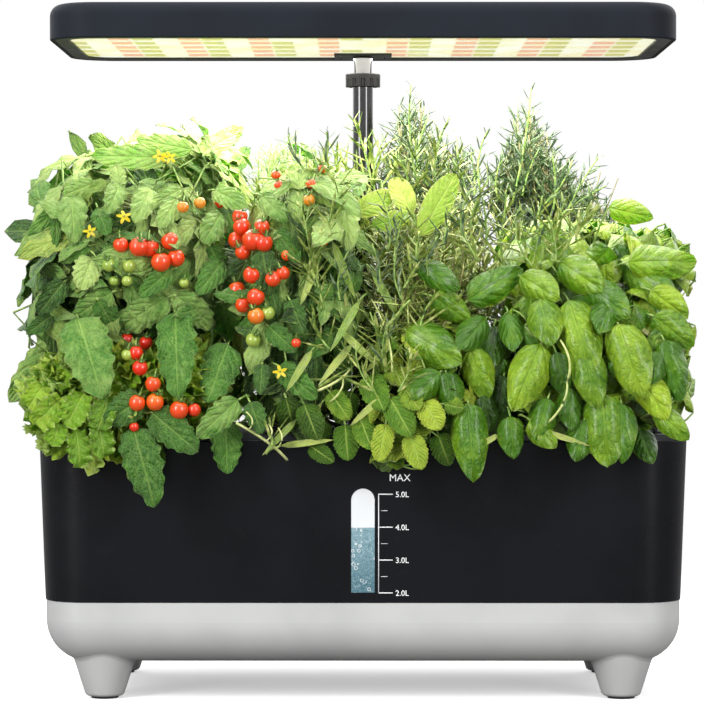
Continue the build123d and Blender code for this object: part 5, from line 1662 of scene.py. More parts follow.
class SprigNodes:
    """Geometry nodes that clothe the lines of a mesh in needle leaves, turned round each line."""

    golden = 2.39996

    def __init__(self) -> None:
        """Build the node group."""
        group = Group(
            "NeedleSprigs",
            [
                ("Lines", "Geometry", None), ("Spacing", "Float", 0.002), ("Length", "Float", 0.012),
                ("Slimness", "Float", 0.12), ("Lean", "Float", 0.8), ("Seed", "Int", 1),
                ("Finish", "Material", None),
            ],
            [("Needles", "Geometry")],
            "Geometry",
        )
        self.tree, kit, source = group.tree, group.kit, group.source
        curve = kit.add("GeometryNodeMeshToCurve", {0: source["Lines"]}).outputs[0]
        grab = kit.add("GeometryNodeCaptureAttribute", {0: curve}, domain="POINT")
        grab.capture_items.new("FLOAT", "Share")
        kit.feed(grab.inputs[1], kit.add("GeometryNodeSplineParameter").outputs["Factor"])
        points = kit.add("GeometryNodeCurveToPoints", {"Curve": grab.outputs[0]}, mode="LENGTH")
        kit.feed(points.inputs["Length"], source["Spacing"])
        order = kit.add("GeometryNodeInputIndex").outputs[0]
        wander = self.chance(kit, source["Seed"], -0.5, 0.5, 0)
        spin = kit.math("MULTIPLY_ADD", order, self.golden, wander)
        about = self.turn(kit, points.outputs["Rotation"], (0.0, 0.0, 1.0), spin)
        lean = kit.times(source["Lean"], self.chance(kit, source["Seed"], 0.75, 1.25, 1))
        tilted = self.turn(kit, about, (1.0, 0.0, 0.0), lean)
        young = kit.math("MULTIPLY_ADD", kit.math("POWER", grab.outputs[1], 3.0), -0.6, 1.0)
        size = kit.times(self.chance(kit, source["Seed"], 0.7, 1.15, 2), source["Length"])
        size = kit.times(size, young)
        needle = kit.add("GeometryNodeMeshUVSphere", {"Segments": 4, "Rings": 3, "Radius": 0.5})
        flat = kit.times(source["Slimness"], 0.45)
        girth = kit.add("ShaderNodeCombineXYZ", {0: source["Slimness"], 1: flat, 2: 1.0}).outputs[0]
        shaped = kit.add("GeometryNodeTransform", {"Geometry": needle.outputs["Mesh"], "Scale": girth})
        shaped.inputs["Translation"].default_value = (0.0, 0.0, 0.48)
        spread = kit.add(
            "GeometryNodeInstanceOnPoints",
            {
                "Points": points.outputs["Points"], "Instance": shaped.outputs[0],
                "Rotation": tilted, "Scale": size,
            },
        )
        real = kit.add("GeometryNodeRealizeInstances", {0: spread.outputs[0]})
        painted = kit.add(
            "GeometryNodeSetMaterial", {"Geometry": real.outputs[0], "Material": source["Finish"]}
        )
        kit.feed(group.result[0], painted.outputs[0])

    @staticmethod
    def chance(
        kit: NodeKit, seed: Socket, low: float, high: float, extra: int
    ) -> Socket:
        """Add a random number for each needle."""
        node = kit.add("FunctionNodeRandomValue", data_type="FLOAT")
        node.inputs[2].default_value = low
        node.inputs[3].default_value = high
        kit.feed(node.inputs["Seed"], kit.math("ADD", seed, extra))
        return node.outputs[1]

    @staticmethod
    def turn(
        kit: NodeKit, rotation: Socket, axis: Point, angle: Socket
    ) -> Socket:
        """Add a turn about an axis of the needle's own."""
        by = kit.add("FunctionNodeAxisAngleToRotation", {"Axis": axis, "Angle": angle}).outputs[0]
        node = kit.add(
            "FunctionNodeRotateRotation", {"Rotation": rotation, "Rotate By": by},
            rotation_space="LOCAL",
        )
        return node.outputs[0]

    def clothe(self, name: str, lines: Array, settings: dict[str, object]) -> Mesh:
        """Clothe lines in needles.

        Args:
            name: Name of the mesh that is made.
            lines: Points by line and place.
            settings: Values for the group's inputs, by name.

        Returns:
            The needles as a plain mesh.
        """
        count, steps, _ = lines.shape
        spots = np.arange(count * steps).reshape(count, steps)
        edges = np.stack([spots[:, :-1], spots[:, 1:]], axis=-1).reshape(-1, 2)
        source = bpy.data.meshes.new(name + "_lines")
        source.from_pydata(lines.reshape(-1, 3).tolist(), edges.tolist(), [])
        carrier = bpy.data.objects.new(name + "_lines", source)
        bpy.context.scene.collection.objects.link(carrier)
        grower = carrier.modifiers.new("needles", "NODES")
        grower.node_group = self.tree
        for item in self.tree.interface.items_tree:
            if item.in_out == "INPUT" and item.name in settings:
                grower[item.identifier] = settings[item.name]
        mesh = evaluated(carrier)
        mesh.name = name
        carrier.modifiers.remove(grower)
        bpy.data.objects.remove(carrier)
        bpy.data.meshes.remove(source)
        kept = ROOM.keep_out(points_of(mesh))
        mesh.vertices.foreach_set("co", kept.astype(np.float32).ravel())
        return mesh


@dataclass(frozen=True)
class NeedleSpec:
    """A needle-leaved plant: its node, pod, sprigs, needles and finishes."""

    node: str
    pod: Pair
    density: float
    sprig: Pair
    needle: float
    spacing: float
    slimness: float
    lean: float
    finish: str
    bark: str
    slot: str
    seed: int
    rise: float = 0.9
    stray: float = 0.5
    stalk: float = 0.0006
    fronds: int = 0


@dataclass
class NeedlePlant:
    """A plant of fine sprigs with needle leaves all round them."""

    spec: NeedleSpec
    finishes: Finishes
    nodes: SprigNodes
    stem_count: int = 9

    def __post_init__(self) -> None:
        """Read the plant's solid and start its stems."""
        self.canopy = Canopy(self.spec.node, self.spec.seed)
        self.chance = np.random.default_rng(self.spec.seed + 900)
        self.stalks = Stalks(self.spec.node + "_stems")

    def build(self) -> None:
        """Make the plant's pieces."""
        spec = self.spec
        lines = self.sprigs()
        self.stalks.add(lines, spec.stalk, spec.stalk * 0.5)
        if spec.fronds:
            lines = self.branch(lines)
            self.stalks.add(lines, spec.stalk * 0.45, spec.stalk * 0.25)
        self.woody()
        settings = {
            "Spacing": spec.spacing, "Length": spec.needle, "Slimness": spec.slimness,
            "Lean": spec.lean, "Seed": spec.seed, "Finish": self.finishes[spec.finish],
        }
        mesh = self.nodes.clothe(spec.node + "_leaves", lines, settings)
        place_piece(mesh, None, (spec.node,))
        self.stalks.build(self.finishes[spec.bark], spec.slot)

    def sprigs(self) -> Array:
        """Return the lines of the sprigs, by sprig and place."""
        spec, chance = self.spec, self.chance
        tips, ways = self.canopy.scatter(spec.density)
        count = len(tips)
        tips = tips - ways * chance.uniform(0.0, 0.012, (count, 1))
        heading = UP * spec.rise + ways * 0.45 + 2 * spec.stray * jitter(chance, count)
        length = chance.uniform(*spec.sprig, (count, 1))
        start = tips - unit(heading) * length
        start[:, 2] = np.maximum(start[:, 2], RIM + 0.004)
        bow = 0.12 * length * unit(ways - UP * 0.5 + 0.8 * jitter(chance, count))
        return bowed(start, tips, bow, 6)

    def branch(self, lines: Array) -> Array:
        """Return side branches of the sprigs, as a feathery plant has."""
        chance, fronds = self.chance, self.spec.fronds
        made = []
        for part in range(fronds):
            share = 0.25 + 0.75 * part / fronds
            place = share * (lines.shape[1] - 1)
            low = min(int(place), lines.shape[1] - 2)
            start = lines[:, low] + (place - low) * (lines[:, low + 1] - lines[:, low])
            heading = unit(lines[:, low + 1] - lines[:, low])
            side = unit(np.cross(heading, jitter(chance, len(lines))))
            length = np.linalg.norm(lines[:, -1] - lines[:, 0], axis=1, keepdims=True)
            reach = length * 0.42 * (1.1 - share) * chance.uniform(0.7, 1.2, (len(lines), 1))
            end = start + unit(heading * 0.8 + side) * reach
            made.append(bowed(start, end, heading * reach * 0.08, 4))
        return np.concatenate(made)

    def woody(self) -> None:
        """Add the stems that rise from the pod into the canopy."""
        chance, count = self.chance, self.stem_count
        start = feet(self.spec.pod, count, chance)
        share = chance.uniform(0.15, 0.85, (count, 3))
        end = self.canopy.low * (1 - share) + self.canopy.high * share
        end[:, 2] = self.canopy.high[2] - 0.04 - 0.05 * chance.random(count)
        bow = 0.014 * jitter(chance, count)
        self.stalks.add(bowed(start, end, bow, 9), 0.0012, 0.0003)


# Fruit, flowers and single leaves


@dataclass
class Crop:
    """Cherry tomatoes, each with its centre, radius and ripeness, and their calyxes and stalks."""

    finishes: Finishes
    rows: int = 9
    columns: int = 14
    sepal: Blade = Blade(4, 2, 0.3, 1.2, fold=0.1, arch=-0.9, twist=0.5, ruffle=0.0, thick=0.0004)
    fruit: list[tuple[Vector, float, float]] = field(default_factory=list)
    chance: Chance = field(default_factory=lambda: np.random.default_rng(71))

    def build(self) -> None:
        """Make the fruit, calyxes and stalks."""
        chance = self.chance
        count = len(self.fruit)
        centre, radius, ripe = (np.array(row) for row in zip(*self.fruit))
        rise = np.linspace(0, math.pi, self.rows + 1)[1:-1]
        turn = np.arange(self.columns) * TAU / self.columns
        dimple = 1 - 0.16 * np.exp(-((rise / 0.42) ** 2))
        ring = np.sin(rise)[:, None] * (1 + 0.015 * np.cos(5 * turn))[None, :]
        ball = np.stack(
            [ring * np.cos(turn), ring * np.sin(turn), (np.cos(rise) * dimple)[:, None] + 0 * ring], -1
        )
        poles = np.array([[0.0, 0.0, 0.8], [0.0, 0.0, -0.98]])
        shape = np.concatenate([ball.reshape(-1, 3), poles])
        axis = unit(np.array([0.0, -0.35, 1.0]) + 0.9 * jitter(chance, count))
        side = unit(np.cross(axis, [0.0, 1.0, 0.0]))
        frames = np.stack([side, np.cross(axis, side), axis], axis=1)
        points = np.einsum("vl,nlk->nvk", shape, frames) * radius[:, None, None] + centre[:, None]
        spots = np.arange((self.rows - 1) * self.columns).reshape(self.rows - 1, self.columns)
        beside = np.roll(spots, -1, axis=1)
        walls = np.stack([spots[:-1], spots[1:], beside[1:], beside[:-1]], -1).reshape(-1, 4).tolist()
        crown, foot = len(shape) - 2, len(shape) - 1
        caps = [(crown, int(a), int(b)) for a, b in zip(spots[0], beside[0])]
        caps += [(foot, int(b), int(a)) for a, b in zip(spots[-1], beside[-1])]
        faces = [
            tuple(number + index * len(shape) for number in face)
            for index in range(count)
            for face in [*walls, *caps]
        ]
        mesh = bpy.data.meshes.new("cherry_tomatoes")
        mesh.from_pydata(points.reshape(-1, 3).tolist(), [], faces)
        mesh.shade_smooth()
        near_top = np.exp(-((np.arccos(np.clip(shape[:, 2], -1, 1)) / 0.7) ** 2))
        tone = np.ones((count, len(shape), 4), np.float32)
        tone[..., 0], tone[..., 1] = ripe[:, None], near_top[None, :]
        layer = mesh.attributes.new("tone", "FLOAT_COLOR", "POINT")
        layer.data.foreach_set("color", tone.ravel())
        place_piece(mesh, self.finishes["tomato_skin"])
        self.calyxes(centre, radius, axis, side)

    def calyxes(
        self, centre: Array, radius: Array, axis: Array, side: Array
    ) -> None:
        """Add five sepals and a bent stalk to each fruit."""
        sepals = Leaves("tomato_calyxes")
        top = centre + axis * radius[:, None] * 0.84
        for part in range(5):
            angle = part * TAU / 5
            way = side * math.cos(angle) + np.cross(axis, side) * math.sin(angle)
            size = radius * self.chance.uniform(0.8, 1.15, len(radius))
            sepals.add(
                self.sepal, top, way + axis * 0.35, axis, size, size * 0.26,
                np.full(len(radius), 0.45), self.chance, age=np.zeros(len(radius)),
            )
        sepals.build(self.finishes["tomato_leaf"], "tomato_leaf")
        stalks = Stalks("tomato_stalks")
        end = top + axis * radius[:, None] * 0.9 + np.array([0.0, 0.014, 0.001])
        stalks.add(bowed(top, end, axis * radius[:, None] * 0.4, 6), 0.0005, 0.0004)
        stalks.build(self.finishes["soft_stem"], "tomato_leaf")


@dataclass
class Blossom:
    """Small yellow flowers with five bent-back petals."""

    finishes: Finishes
    petal: Blade = Blade(6, 4, 0.45, 1.0, fold=0.15, arch=0.9, twist=0.3, ruffle=0.02)
    petals: Leaves = field(default_factory=lambda: Leaves("yellow_flowers"))
    stalks: Stalks = field(default_factory=lambda: Stalks("flower_stalks"))
    chance: Chance = field(default_factory=lambda: np.random.default_rng(83))

    def add(self, place: Vector, size: float, face: Point) -> None:
        """Add a flower.

        Args:
            place: Its centre.
            size: Length of a petal.
            face: The way it faces.
        """
        way = unit(np.array(face))[None]
        side = unit(np.cross(way, [[0.2, 0.3, 1.0]]))
        middle = np.array(place)[None]
        for part in range(5):
            angle = part * TAU / 5 + self.chance.random() * 0.3
            heading = side * math.cos(angle) + np.cross(way, side) * math.sin(angle)
            self.petals.add(
                self.petal, middle, heading + way * 0.4, way, np.array([size]),
                np.array([size * 0.42]), np.array([0.3 + 0.5 * self.chance.random()]), self.chance,
                age=np.zeros(1),
            )
        heart = bowed(middle + way * size * 0.5, middle - way * size * 0.2, side * 0.0, 3)
        self.stalks.add(heart, size * 0.07, size * 0.12)
        end = middle + np.array([[0.0, 0.012, -0.006]])
        self.stalks.add(bowed(middle, end, side * 0.002, 5), 0.0005, 0.0005)

    def build(self) -> None:
        """Make the flowers."""
        self.petals.build(self.finishes["petal_yellow"], None)
        self.stalks.build(self.finishes["soft_stem"], "tomato_leaf")


@dataclass(frozen=True)
class Pose:
    """One leaf: base, tip and width in the picture's units, and how it is held."""

    base: Pair
    tip: Pair
    width: float
    tint: float = 0.6
    arch: float = 0.6
    proud: float = 0.007
    anchor: Pair | None = None

    @classmethod
    def read(cls, across: float, down: float, tip_across: float, tip_down: float, *rest: object) -> "Pose":
        """Return the leaf that a row of one of the lists below gives."""
        return cls((across, down), (tip_across, tip_down), *rest)


@dataclass
class LeafSetter:
    """Sets single leaves one by one, on the plants' outside, where they show most."""

    name: str
    blade: Blade
    finish: str
    slot: str
    sight: Sight
    finishes: Finishes
    foremost: float = -0.121

    def __post_init__(self) -> None:
        """Start the leaves' pieces."""
        self.leaves = Leaves(self.name)
        self.stalks = Stalks(self.name + "_stalks")
        self.chance = np.random.default_rng(len(self.name) * 7 + 3)

    def add(self, pose: Pose) -> None:
        """Add a leaf.

        Args:
            pose: The leaf.
        """
        eye = np.array(self.sight.place)
        root = np.array(self.sight.touch(*(pose.anchor or pose.base), -0.1))
        tip = np.array(self.sight.touch(*pose.tip, root[1]))
        if pose.anchor:
            tip = root
        front = min(root[1], tip[1] + 0.012)
        base = np.array(self.sight.at(*pose.base, front))
        depth = float(np.clip(tip[1], front - 0.012, front + 0.02))
        tip = np.array(self.sight.at(*pose.tip, depth))
        base = base + unit(eye - base) * 0.003
        tip = tip + unit(eye - tip) * pose.proud
        for point in (base, tip):
            point[1] = max(point[1], self.foremost)
        chord = tip - base
        length = np.linalg.norm(chord)
        along = chord / length
        side = unit(np.cross(along, unit(eye - base)))
        out = unit(np.cross(side, along))
        half = pose.arch / 2
        start = along * math.cos(half) + out * math.sin(half)
        lift = out * math.cos(half) - along * math.sin(half)
        spread = half / max(math.sin(half), 1e-3)
        scale = (base[1] - eye[1]) / self.sight.spread
        self.leaves.add(
            self.blade, base[None], start[None], lift[None], np.array([length * spread]),
            np.array([pose.width * scale]), np.array([pose.tint]), self.chance,
            arch=np.array([pose.arch]), age=np.zeros(1),
        )
        back = root + np.array([0.0, 0.014, -0.004]) - along * 0.008
        self.stalks.add(bowed(back[None], base[None], -start[None] * 0.002, 5), 0.0007, 0.0006)

    def build(self) -> None:
        """Make the leaves' pieces."""
        self.leaves.build(self.finishes[self.finish], self.slot)
        self.stalks.build(self.finishes["soft_stem"], self.slot)


# Leaves, listed one by one: base, tip, width, and where it differs, tint, arch, proud and anchor.
TOMATO_LEAVES = (
    (62, 204, 28, 236, 18, 0.6, 0.9), (56, 212, 56, 248, 14, 0.45, 0.7), (72, 197, 74, 244, 32, 0.68, 0.8),
    (95, 183, 62, 196, 22, 0.8), (120, 184, 116, 165, 18, 0.9), (165, 158, 92, 156, 28, 0.85, 0.7),
    (192, 150, 136, 139, 24, 1.0, 0.5), (215, 146, 243, 127, 22, 0.85), (88, 246, 60, 262, 18, 0.55),
    (92, 258, 80, 290, 32, 1.0, 0.5), (64, 282, 38, 314, 26, 0.2, 1.2), (52, 316, 26, 334, 18, 0.25, 0.9),
    (78, 318, 101, 400, 54, 0.56, 0.7, 0.02), (226, 206, 240, 250, 30, 0.3, 0.7, -0.004),
    (246, 262, 228, 300, 30, 0.2, 0.7, -0.004), (262, 250, 270, 296, 30, 0.25, 0.7, -0.004),
    (236, 240, 222, 276, 28, 0.15, 0.7, -0.004), (62, 340, 8, 402, 38, 0.74, 0.8, 0.02),
    (175, 312, 178, 399, 44, 0.5, 0.5), (228, 344, 207, 403, 42, 0.45, 0.6),
    (168, 297, 116, 330, 36, 0.62, 0.9), (176, 296, 214, 326, 32, 0.62, 0.9),
    (222, 304, 230, 340, 34, 0.55, 0.5), (142, 398, 104, 424, 36, 0.3, 0.6),
    (152, 413, 198, 452, 38, 0.35, 0.6), (133, 428, 155, 507, 44, 0.36, 0.6),
    (226, 422, 227, 474, 34, 0.45, 0.5), (238, 400, 197, 438, 30, 0.6, 0.7), (262, 364, 260, 395, 18, 0.25),
    (279, 366, 317, 399, 28, 0.5, 0.7), (222, 213, 203, 244, 30, 0.62), (177, 199, 159, 229, 24, 0.75),
    (151, 189, 134, 223, 28, 0.78), (171, 270, 139, 297, 24, 0.5, 0.8), (223, 261, 197, 295, 28, 0.45, 0.8),
    (112, 292, 74, 318, 30, 0.6, 0.8), (98, 300, 120, 336, 26, 0.4, 0.8), (215, 190, 248, 208, 24, 0.7),
    (262, 196, 288, 222, 24, 0.65), (210, 246, 226, 276, 24, 0.35), (276, 232, 300, 262, 24, 0.45),
    (268, 326, 296, 352, 24, 0.4), (290, 300, 304, 334, 22, 0.35), (182, 404, 168, 440, 26, 0.25),
    (250, 402, 262, 434, 24, 0.3), (120, 186, 106, 214, 24, 0.7), (98, 208, 108, 236, 22, 0.5),
    (300, 190, 300, 160, 30, 0.98, 0.4), (345, 203, 349, 252, 28, 0.92, 0.5),
)

BASIL_LEAVES = (
    (468, 300, 522, 268, 34, 0.5), (418, 264, 460, 290, 28, 0.45), (406, 330, 462, 364, 44, 0.55),
    (470, 349, 487, 400, 34, 0.65), (508, 312, 514, 352, 26, 0.5), (541, 344, 513, 411, 42, 0.75, 0.9),
    (568, 300, 592, 377, 48, 0.66, 0.9), (618, 324, 642, 400, 46, 0.7, 0.9),
    (628, 262, 696, 262, 38, 0.72, 0.8), (628, 268, 678, 304, 38, 0.55), (653, 316, 693, 347, 34, 0.62),
    (664, 340, 681, 402, 32, 0.5), (640, 376, 667, 421, 34, 0.95), (584, 348, 597, 408, 36, 0.6, 1.1),
    (568, 388, 573, 431, 26, 0.4), (602, 394, 608, 467, 48, 0.6, 0.9), (468, 403, 474, 482, 38, 0.55, 0.6),
    (510, 416, 514, 459, 28, 0.5), (621, 403, 622, 464, 30, 0.5, 0.6), (640, 430, 653, 464, 26, 0.4),
    (656, 410, 689, 440, 26, 0.62, 1.0), (608, 208, 653, 218, 26, 0.8, 0.6, 0.007, (606, 262)),
    (540, 300, 552, 346, 38, 0.6, 0.9), (560, 262, 604, 292, 38, 0.66), (586, 284, 630, 318, 36, 0.5),
    (486, 318, 458, 350, 32, 0.45), (520, 276, 560, 300, 34, 0.7), (610, 248, 582, 276, 32, 0.6),
    (432, 296, 470, 322, 30, 0.6), (500, 356, 492, 404, 30, 0.42), (440, 372, 412, 400, 32, 0.5),
    (446, 372, 452, 412, 30, 0.4), (548, 398, 536, 440, 30, 0.5), (584, 420, 576, 462, 30, 0.45),
    (530, 420, 556, 448, 26, 0.65), (650, 290, 688, 318, 30, 0.8), (660, 352, 644, 386, 28, 0.4),
    (612, 300, 598, 334, 30, 0.45), (494, 326, 484, 374, 32, 0.3, 0.8, 0.001),
    (504, 376, 496, 424, 32, 0.2, 0.7, 0.001), (482, 396, 494, 434, 28, 0.25, 0.7, 0.001),
    (470, 330, 476, 368, 28, 0.25, 0.7, 0.001), (626, 340, 612, 376, 30, 0.35, 0.8, 0.001),
    (556, 352, 566, 396, 30, 0.3, 0.8, 0.001),
)

MINT_LEAVES = (
    (390, 398, 412, 437, 28, 0.5), (424, 402, 441, 430, 26, 0.9), (386, 424, 378, 462, 22, 0.9),
    (410, 435, 422, 470, 24, 0.8), (438, 434, 449, 466, 24, 0.3), (444, 404, 464, 408, 18, 0.6),
    (368, 376, 384, 411, 28, 0.5), (345, 425, 348, 461, 26, 0.4), (330, 392, 350, 420, 22, 0.6),
    (404, 388, 420, 410, 22, 0.7), (360, 418, 372, 450, 24, 0.55), (310, 446, 334, 462, 18, 0.3),
    (304, 404, 318, 440, 26, 0.25, 0.7, 0.001), (324, 420, 312, 448, 24, 0.35, 0.7, 0.003),
    (286, 398, 294, 432, 26, 0.2, 0.7, 0.001), (352, 392, 338, 424, 24, 0.3, 0.7, 0.001),
    (448, 420, 458, 446, 22, 0.35, 0.7, 0.001),
)

FRILLED_LEAVES = (
    (76, 428, 80, 468, 24, 0.4, 0.7), (98, 420, 104, 458, 24, 0.35, 0.7), (62, 398, 34, 424, 28, 0.6, 0.8),
    (84, 392, 66, 426, 28, 0.5, 0.8), (108, 398, 98, 430, 26, 0.3, 0.8), (44, 384, 28, 408, 26, 0.65, 0.8),
    (60, 420, 52, 446, 22, 0.45, 0.6), (154, 440, 158, 470, 18, 0.3, 0.5),
)

SAGE_LEAVES = (
    (420, 236, 455, 174, 30, 0.6, 0.4), (412, 214, 394, 178, 24, 0.8, 0.6),
    (352, 214, 396, 194, 24, 0.95, 0.7), (372, 226, 410, 216, 20, 0.85, 0.7),
)

# Sprigs: foot and tip.
DARK_SPRIGS = (
    (419, 190, 411, 86), (418, 178, 428, 118), (512, 204, 531, 88), (522, 196, 538, 150),
    (480, 190, 487, 131), (474, 196, 470, 152), (553, 210, 552, 156), (566, 214, 598, 158),
    (545, 204, 572, 160), (498, 200, 503, 158), (560, 216, 606, 186), (306, 172, 288, 136),
    (318, 176, 326, 132), (388, 250, 380, 196), (394, 262, 404, 214), (378, 292, 372, 244),
    (462, 236, 472, 188), (486, 246, 482, 196), (508, 250, 520, 206), (536, 252, 530, 208),
    (444, 250, 458, 206), (466, 204, 452, 160), (580, 226, 588, 186), (370, 330, 362, 284),
    (402, 300, 396, 256), (428, 276, 438, 236), (340, 300, 348, 252), (384, 366, 392, 318),
)
PALE_SPRIGS = (
    (372, 186, 354, 120), (374, 190, 384, 140), (380, 188, 396, 152), (366, 186, 340, 150),
    (436, 190, 446, 124), (428, 186, 416, 140), (442, 196, 460, 148), (406, 196, 398, 156),
    (350, 188, 332, 146), (336, 190, 316, 158), (470, 228, 490, 176), (500, 240, 506, 190),
    (520, 244, 542, 196), (548, 246, 566, 200), (566, 250, 588, 208), (478, 262, 458, 220),
    (504, 266, 496, 218), (532, 266, 516, 222), (556, 262, 548, 216), (416, 262, 414, 214),
    (364, 258, 352, 214), (404, 288, 420, 244), (356, 330, 338, 286), (388, 330, 408, 286),
    (352, 372, 332, 330), (374, 392, 356, 350), (330, 350, 312, 312), (346, 420, 322, 384),
    (398, 392, 412, 352), (420, 330, 434, 296), (576, 240, 596, 214), (330, 226, 346, 186),
    (324, 310, 300, 196), (312, 262, 332, 228), (316, 286, 294, 252), (287, 462, 240, 424),
    (272, 446, 268, 418), (350, 368, 314, 392), (410, 300, 384, 346), (386, 372, 370, 312),
)

NARROW_LEAVES = (
    (280, 446, 334, 440, 7, 0.9, 0.3), (296, 420, 262, 456, 7, 0.7, 0.5), (500, 434, 468, 452, 6, 0.9, 0.4),
    (540, 430, 590, 446, 6, 0.9, 0.4), (332, 240, 356, 300, 8, 0.7, 0.5), (318, 262, 300, 306, 8, 0.8, 0.5),
    (360, 300, 330, 352, 8, 0.6, 0.5), (340, 330, 378, 366, 8, 0.75, 0.5),
    (352, 344, 318, 386, 8, 0.85, 0.5), (372, 270, 398, 318, 8, 0.65, 0.5),
    (392, 340, 366, 372, 8, 0.8, 0.5), (312, 350, 286, 392, 8, 0.75, 0.5),
    (322, 402, 300, 436, 7, 0.8, 0.5), (380, 398, 350, 426, 7, 0.85, 0.5),
)

# Tomatoes: place, radius and ripeness.
TOMATOES = (
    (121, 245, 8, 0.72), (139, 247, 10, 0.75), (149, 247, 10, 0.72), (170, 241, 9, 0.7),
    (161, 262, 10, 0.66), (176, 258, 9, 0.7), (109, 265, 7, 0.1), (129, 266, 7, 0.14),
    (114, 281, 5, 0.05), (127, 281, 5.5, 0.1), (155, 288, 5, 0.12), (184, 283, 5, 0.15),
    (183, 207, 6, 0.45), (200, 203, 6, 0.42), (223, 202, 9, 0.75), (240, 217, 8, 0.72),
    (242, 227, 9, 0.76), (237, 240, 9, 0.7), (253, 240, 11, 0.72), (264, 243, 9, 0.78),
    (262, 227, 8, 0.72), (243, 252, 8, 0.7), (252, 275, 9, 0.74), (237, 290, 9, 0.68),
    (273, 279, 8, 0.72), (283, 273, 7, 0.7), (256, 297, 9, 0.72), (243, 305, 8, 0.7),
    (256, 316, 8.5, 0.52), (253, 340, 7.5, 0.12), (268, 313, 7, 0.15), (276, 175, 5, 0.6),
    (279, 185, 5, 0.66), (322, 169, 5, 0.6), (311, 184, 5, 0.62), (309, 200, 6, 0.45),
    (322, 240, 7, 0.66), (287, 255, 6, 0.62), (296, 343, 5, 0.7), (127, 340, 7, 0.9),
    (146, 343, 7, 0.88), (136, 353, 7.5, 0.84), (140, 368, 8, 0.86), (127, 355, 6, 0.15),
    (153, 384, 8, 0.66), (155, 402, 9, 0.58), (137, 403, 8.5, 0.64), (179, 410, 9.5, 0.66),
    (194, 410, 7, 0.74), (134, 427, 5, 0.8), (233, 381, 4, 0.1),
)

# Flowers: place and length of a petal.
FLOWERS = (
    (90, 232, 0.0042), (124, 217, 0.0045), (160, 157, 0.0046), (170, 158, 0.0042), (280, 372, 0.0044),
)

# Pale stems: foot, tip and thickness.
PALE_STEMS = (
    ((350, 369), (315, 392), 0.0012), ((342, 376), (330, 402), 0.0009), ((236, 423), (287, 460), 0.0013),
    ((248, 430), (246, 412), 0.0007), ((265, 442), (268, 424), 0.0007), ((275, 450), (278, 428), 0.0007),
    ((560, 340), (567, 382), 0.0011), ((567, 382), (548, 423), 0.001), ((372, 300), (392, 372), 0.0009),
)


# Casework


@dataclass
class LevelScale:
    """The printed level scale beside the window: its lines, ticks and labels."""

    finishes: Finishes
    line: float = 0.0086
    litres: int = 3
    first: int = 2
    litre: float = 0.0181
    low: float = 0.061
    steps: int = 2
    major: float = 0.0078
    minor: Pair = (0.0013, 0.0049)
    stroke: float = 0.00055
    thin: Pair = (0.8, 0.45)
    label_left: float = 0.0178
    label_height: float = 0.0031
    top_mark: float = 0.1245
    top_shift: float = 0.0035
    top_size: float = 1.26
    proud: float = 0.00012
    sunk: float = 0.00006

    @staticmethod
    def face(z: float) -> float:
        """Return where the tank's front face stands at a height."""
        return -(0.092 - (RIM - z) * SLOPE)

    def bar(self, left: float, right: float, low: float, high: float) -> Array:
        """Return the eight corners of a thin printed bar on the front face."""
        corners = []
        for out in (-self.proud, self.sunk):
            for x, z in ((left, low), (right, low), (right, high), (left, high)):
                corners.append((x, self.face(z) + out, z))
        return np.array(corners)

    def build(self) -> None:
        """Make lines, ticks and labels."""
        half = self.stroke / 2
        line, minor = half * self.thin[0], half * self.thin[1]
        top = self.low + self.litres * self.litre
        bars = [self.bar(self.line - line, self.line + line, self.low - half, top + half)]
        count = self.litres * self.steps
        for index in range(count + 1):
            z = self.low + index * (top - self.low) / count
            if index % self.steps == 0:
                bars.append(self.bar(self.line + half, self.line + self.major, z - half, z + half))
            else:
                start, end = self.minor
                bars.append(self.bar(self.line + start, self.line + end, z - minor, z + minor))
        box = np.array(
            [(0, 1, 2, 3), (7, 6, 5, 4), (0, 4, 5, 1), (1, 5, 6, 2), (2, 6, 7, 3), (3, 7, 4, 0)]
        )
        faces = np.concatenate([box + 8 * number for number in range(len(bars))])
        mesh = quad_mesh("level_scale_lines", np.concatenate(bars), faces)
        place_piece(mesh, self.finishes["print_white"])
        for number in range(self.litres + 1):
            z = self.low + number * self.litre
            self.label(f"{self.first + number}.0L", z, self.label_height, self.label_left)
        left = self.label_left - self.top_shift
        self.label("MAX", self.top_mark, self.label_height * self.top_size, left)

    def label(self, words: str, z: float, height: float, left: float) -> None:
        """Add a printed label.

        Args:
            words: What it says.
            z: Height of its middle.
            height: Height of its letters.
            left: Where it starts.
        """
        curve = bpy.data.curves.new("label", "FONT")
        curve.body = words
        curve.size = height * 1.4
        curve.extrude = self.proud / 2
        curve.resolution_u = 3
        carrier = bpy.data.objects.new("label", curve)
        bpy.context.scene.collection.objects.link(carrier)
        mesh = evaluated(carrier)
        mesh.name = "level_label_" + words.replace(".", "_").lower()
        bpy.data.objects.remove(carrier)
        lean = math.pi / 2 + math.atan(SLOPE)
        low = z - height / 2
        turn = Matrix.Translation((left, self.face(low) - self.proud / 2, low))
        mesh.transform(turn @ Matrix.Rotation(lean, 4, "X"))
        place_piece(mesh, self.finishes["print_white"])


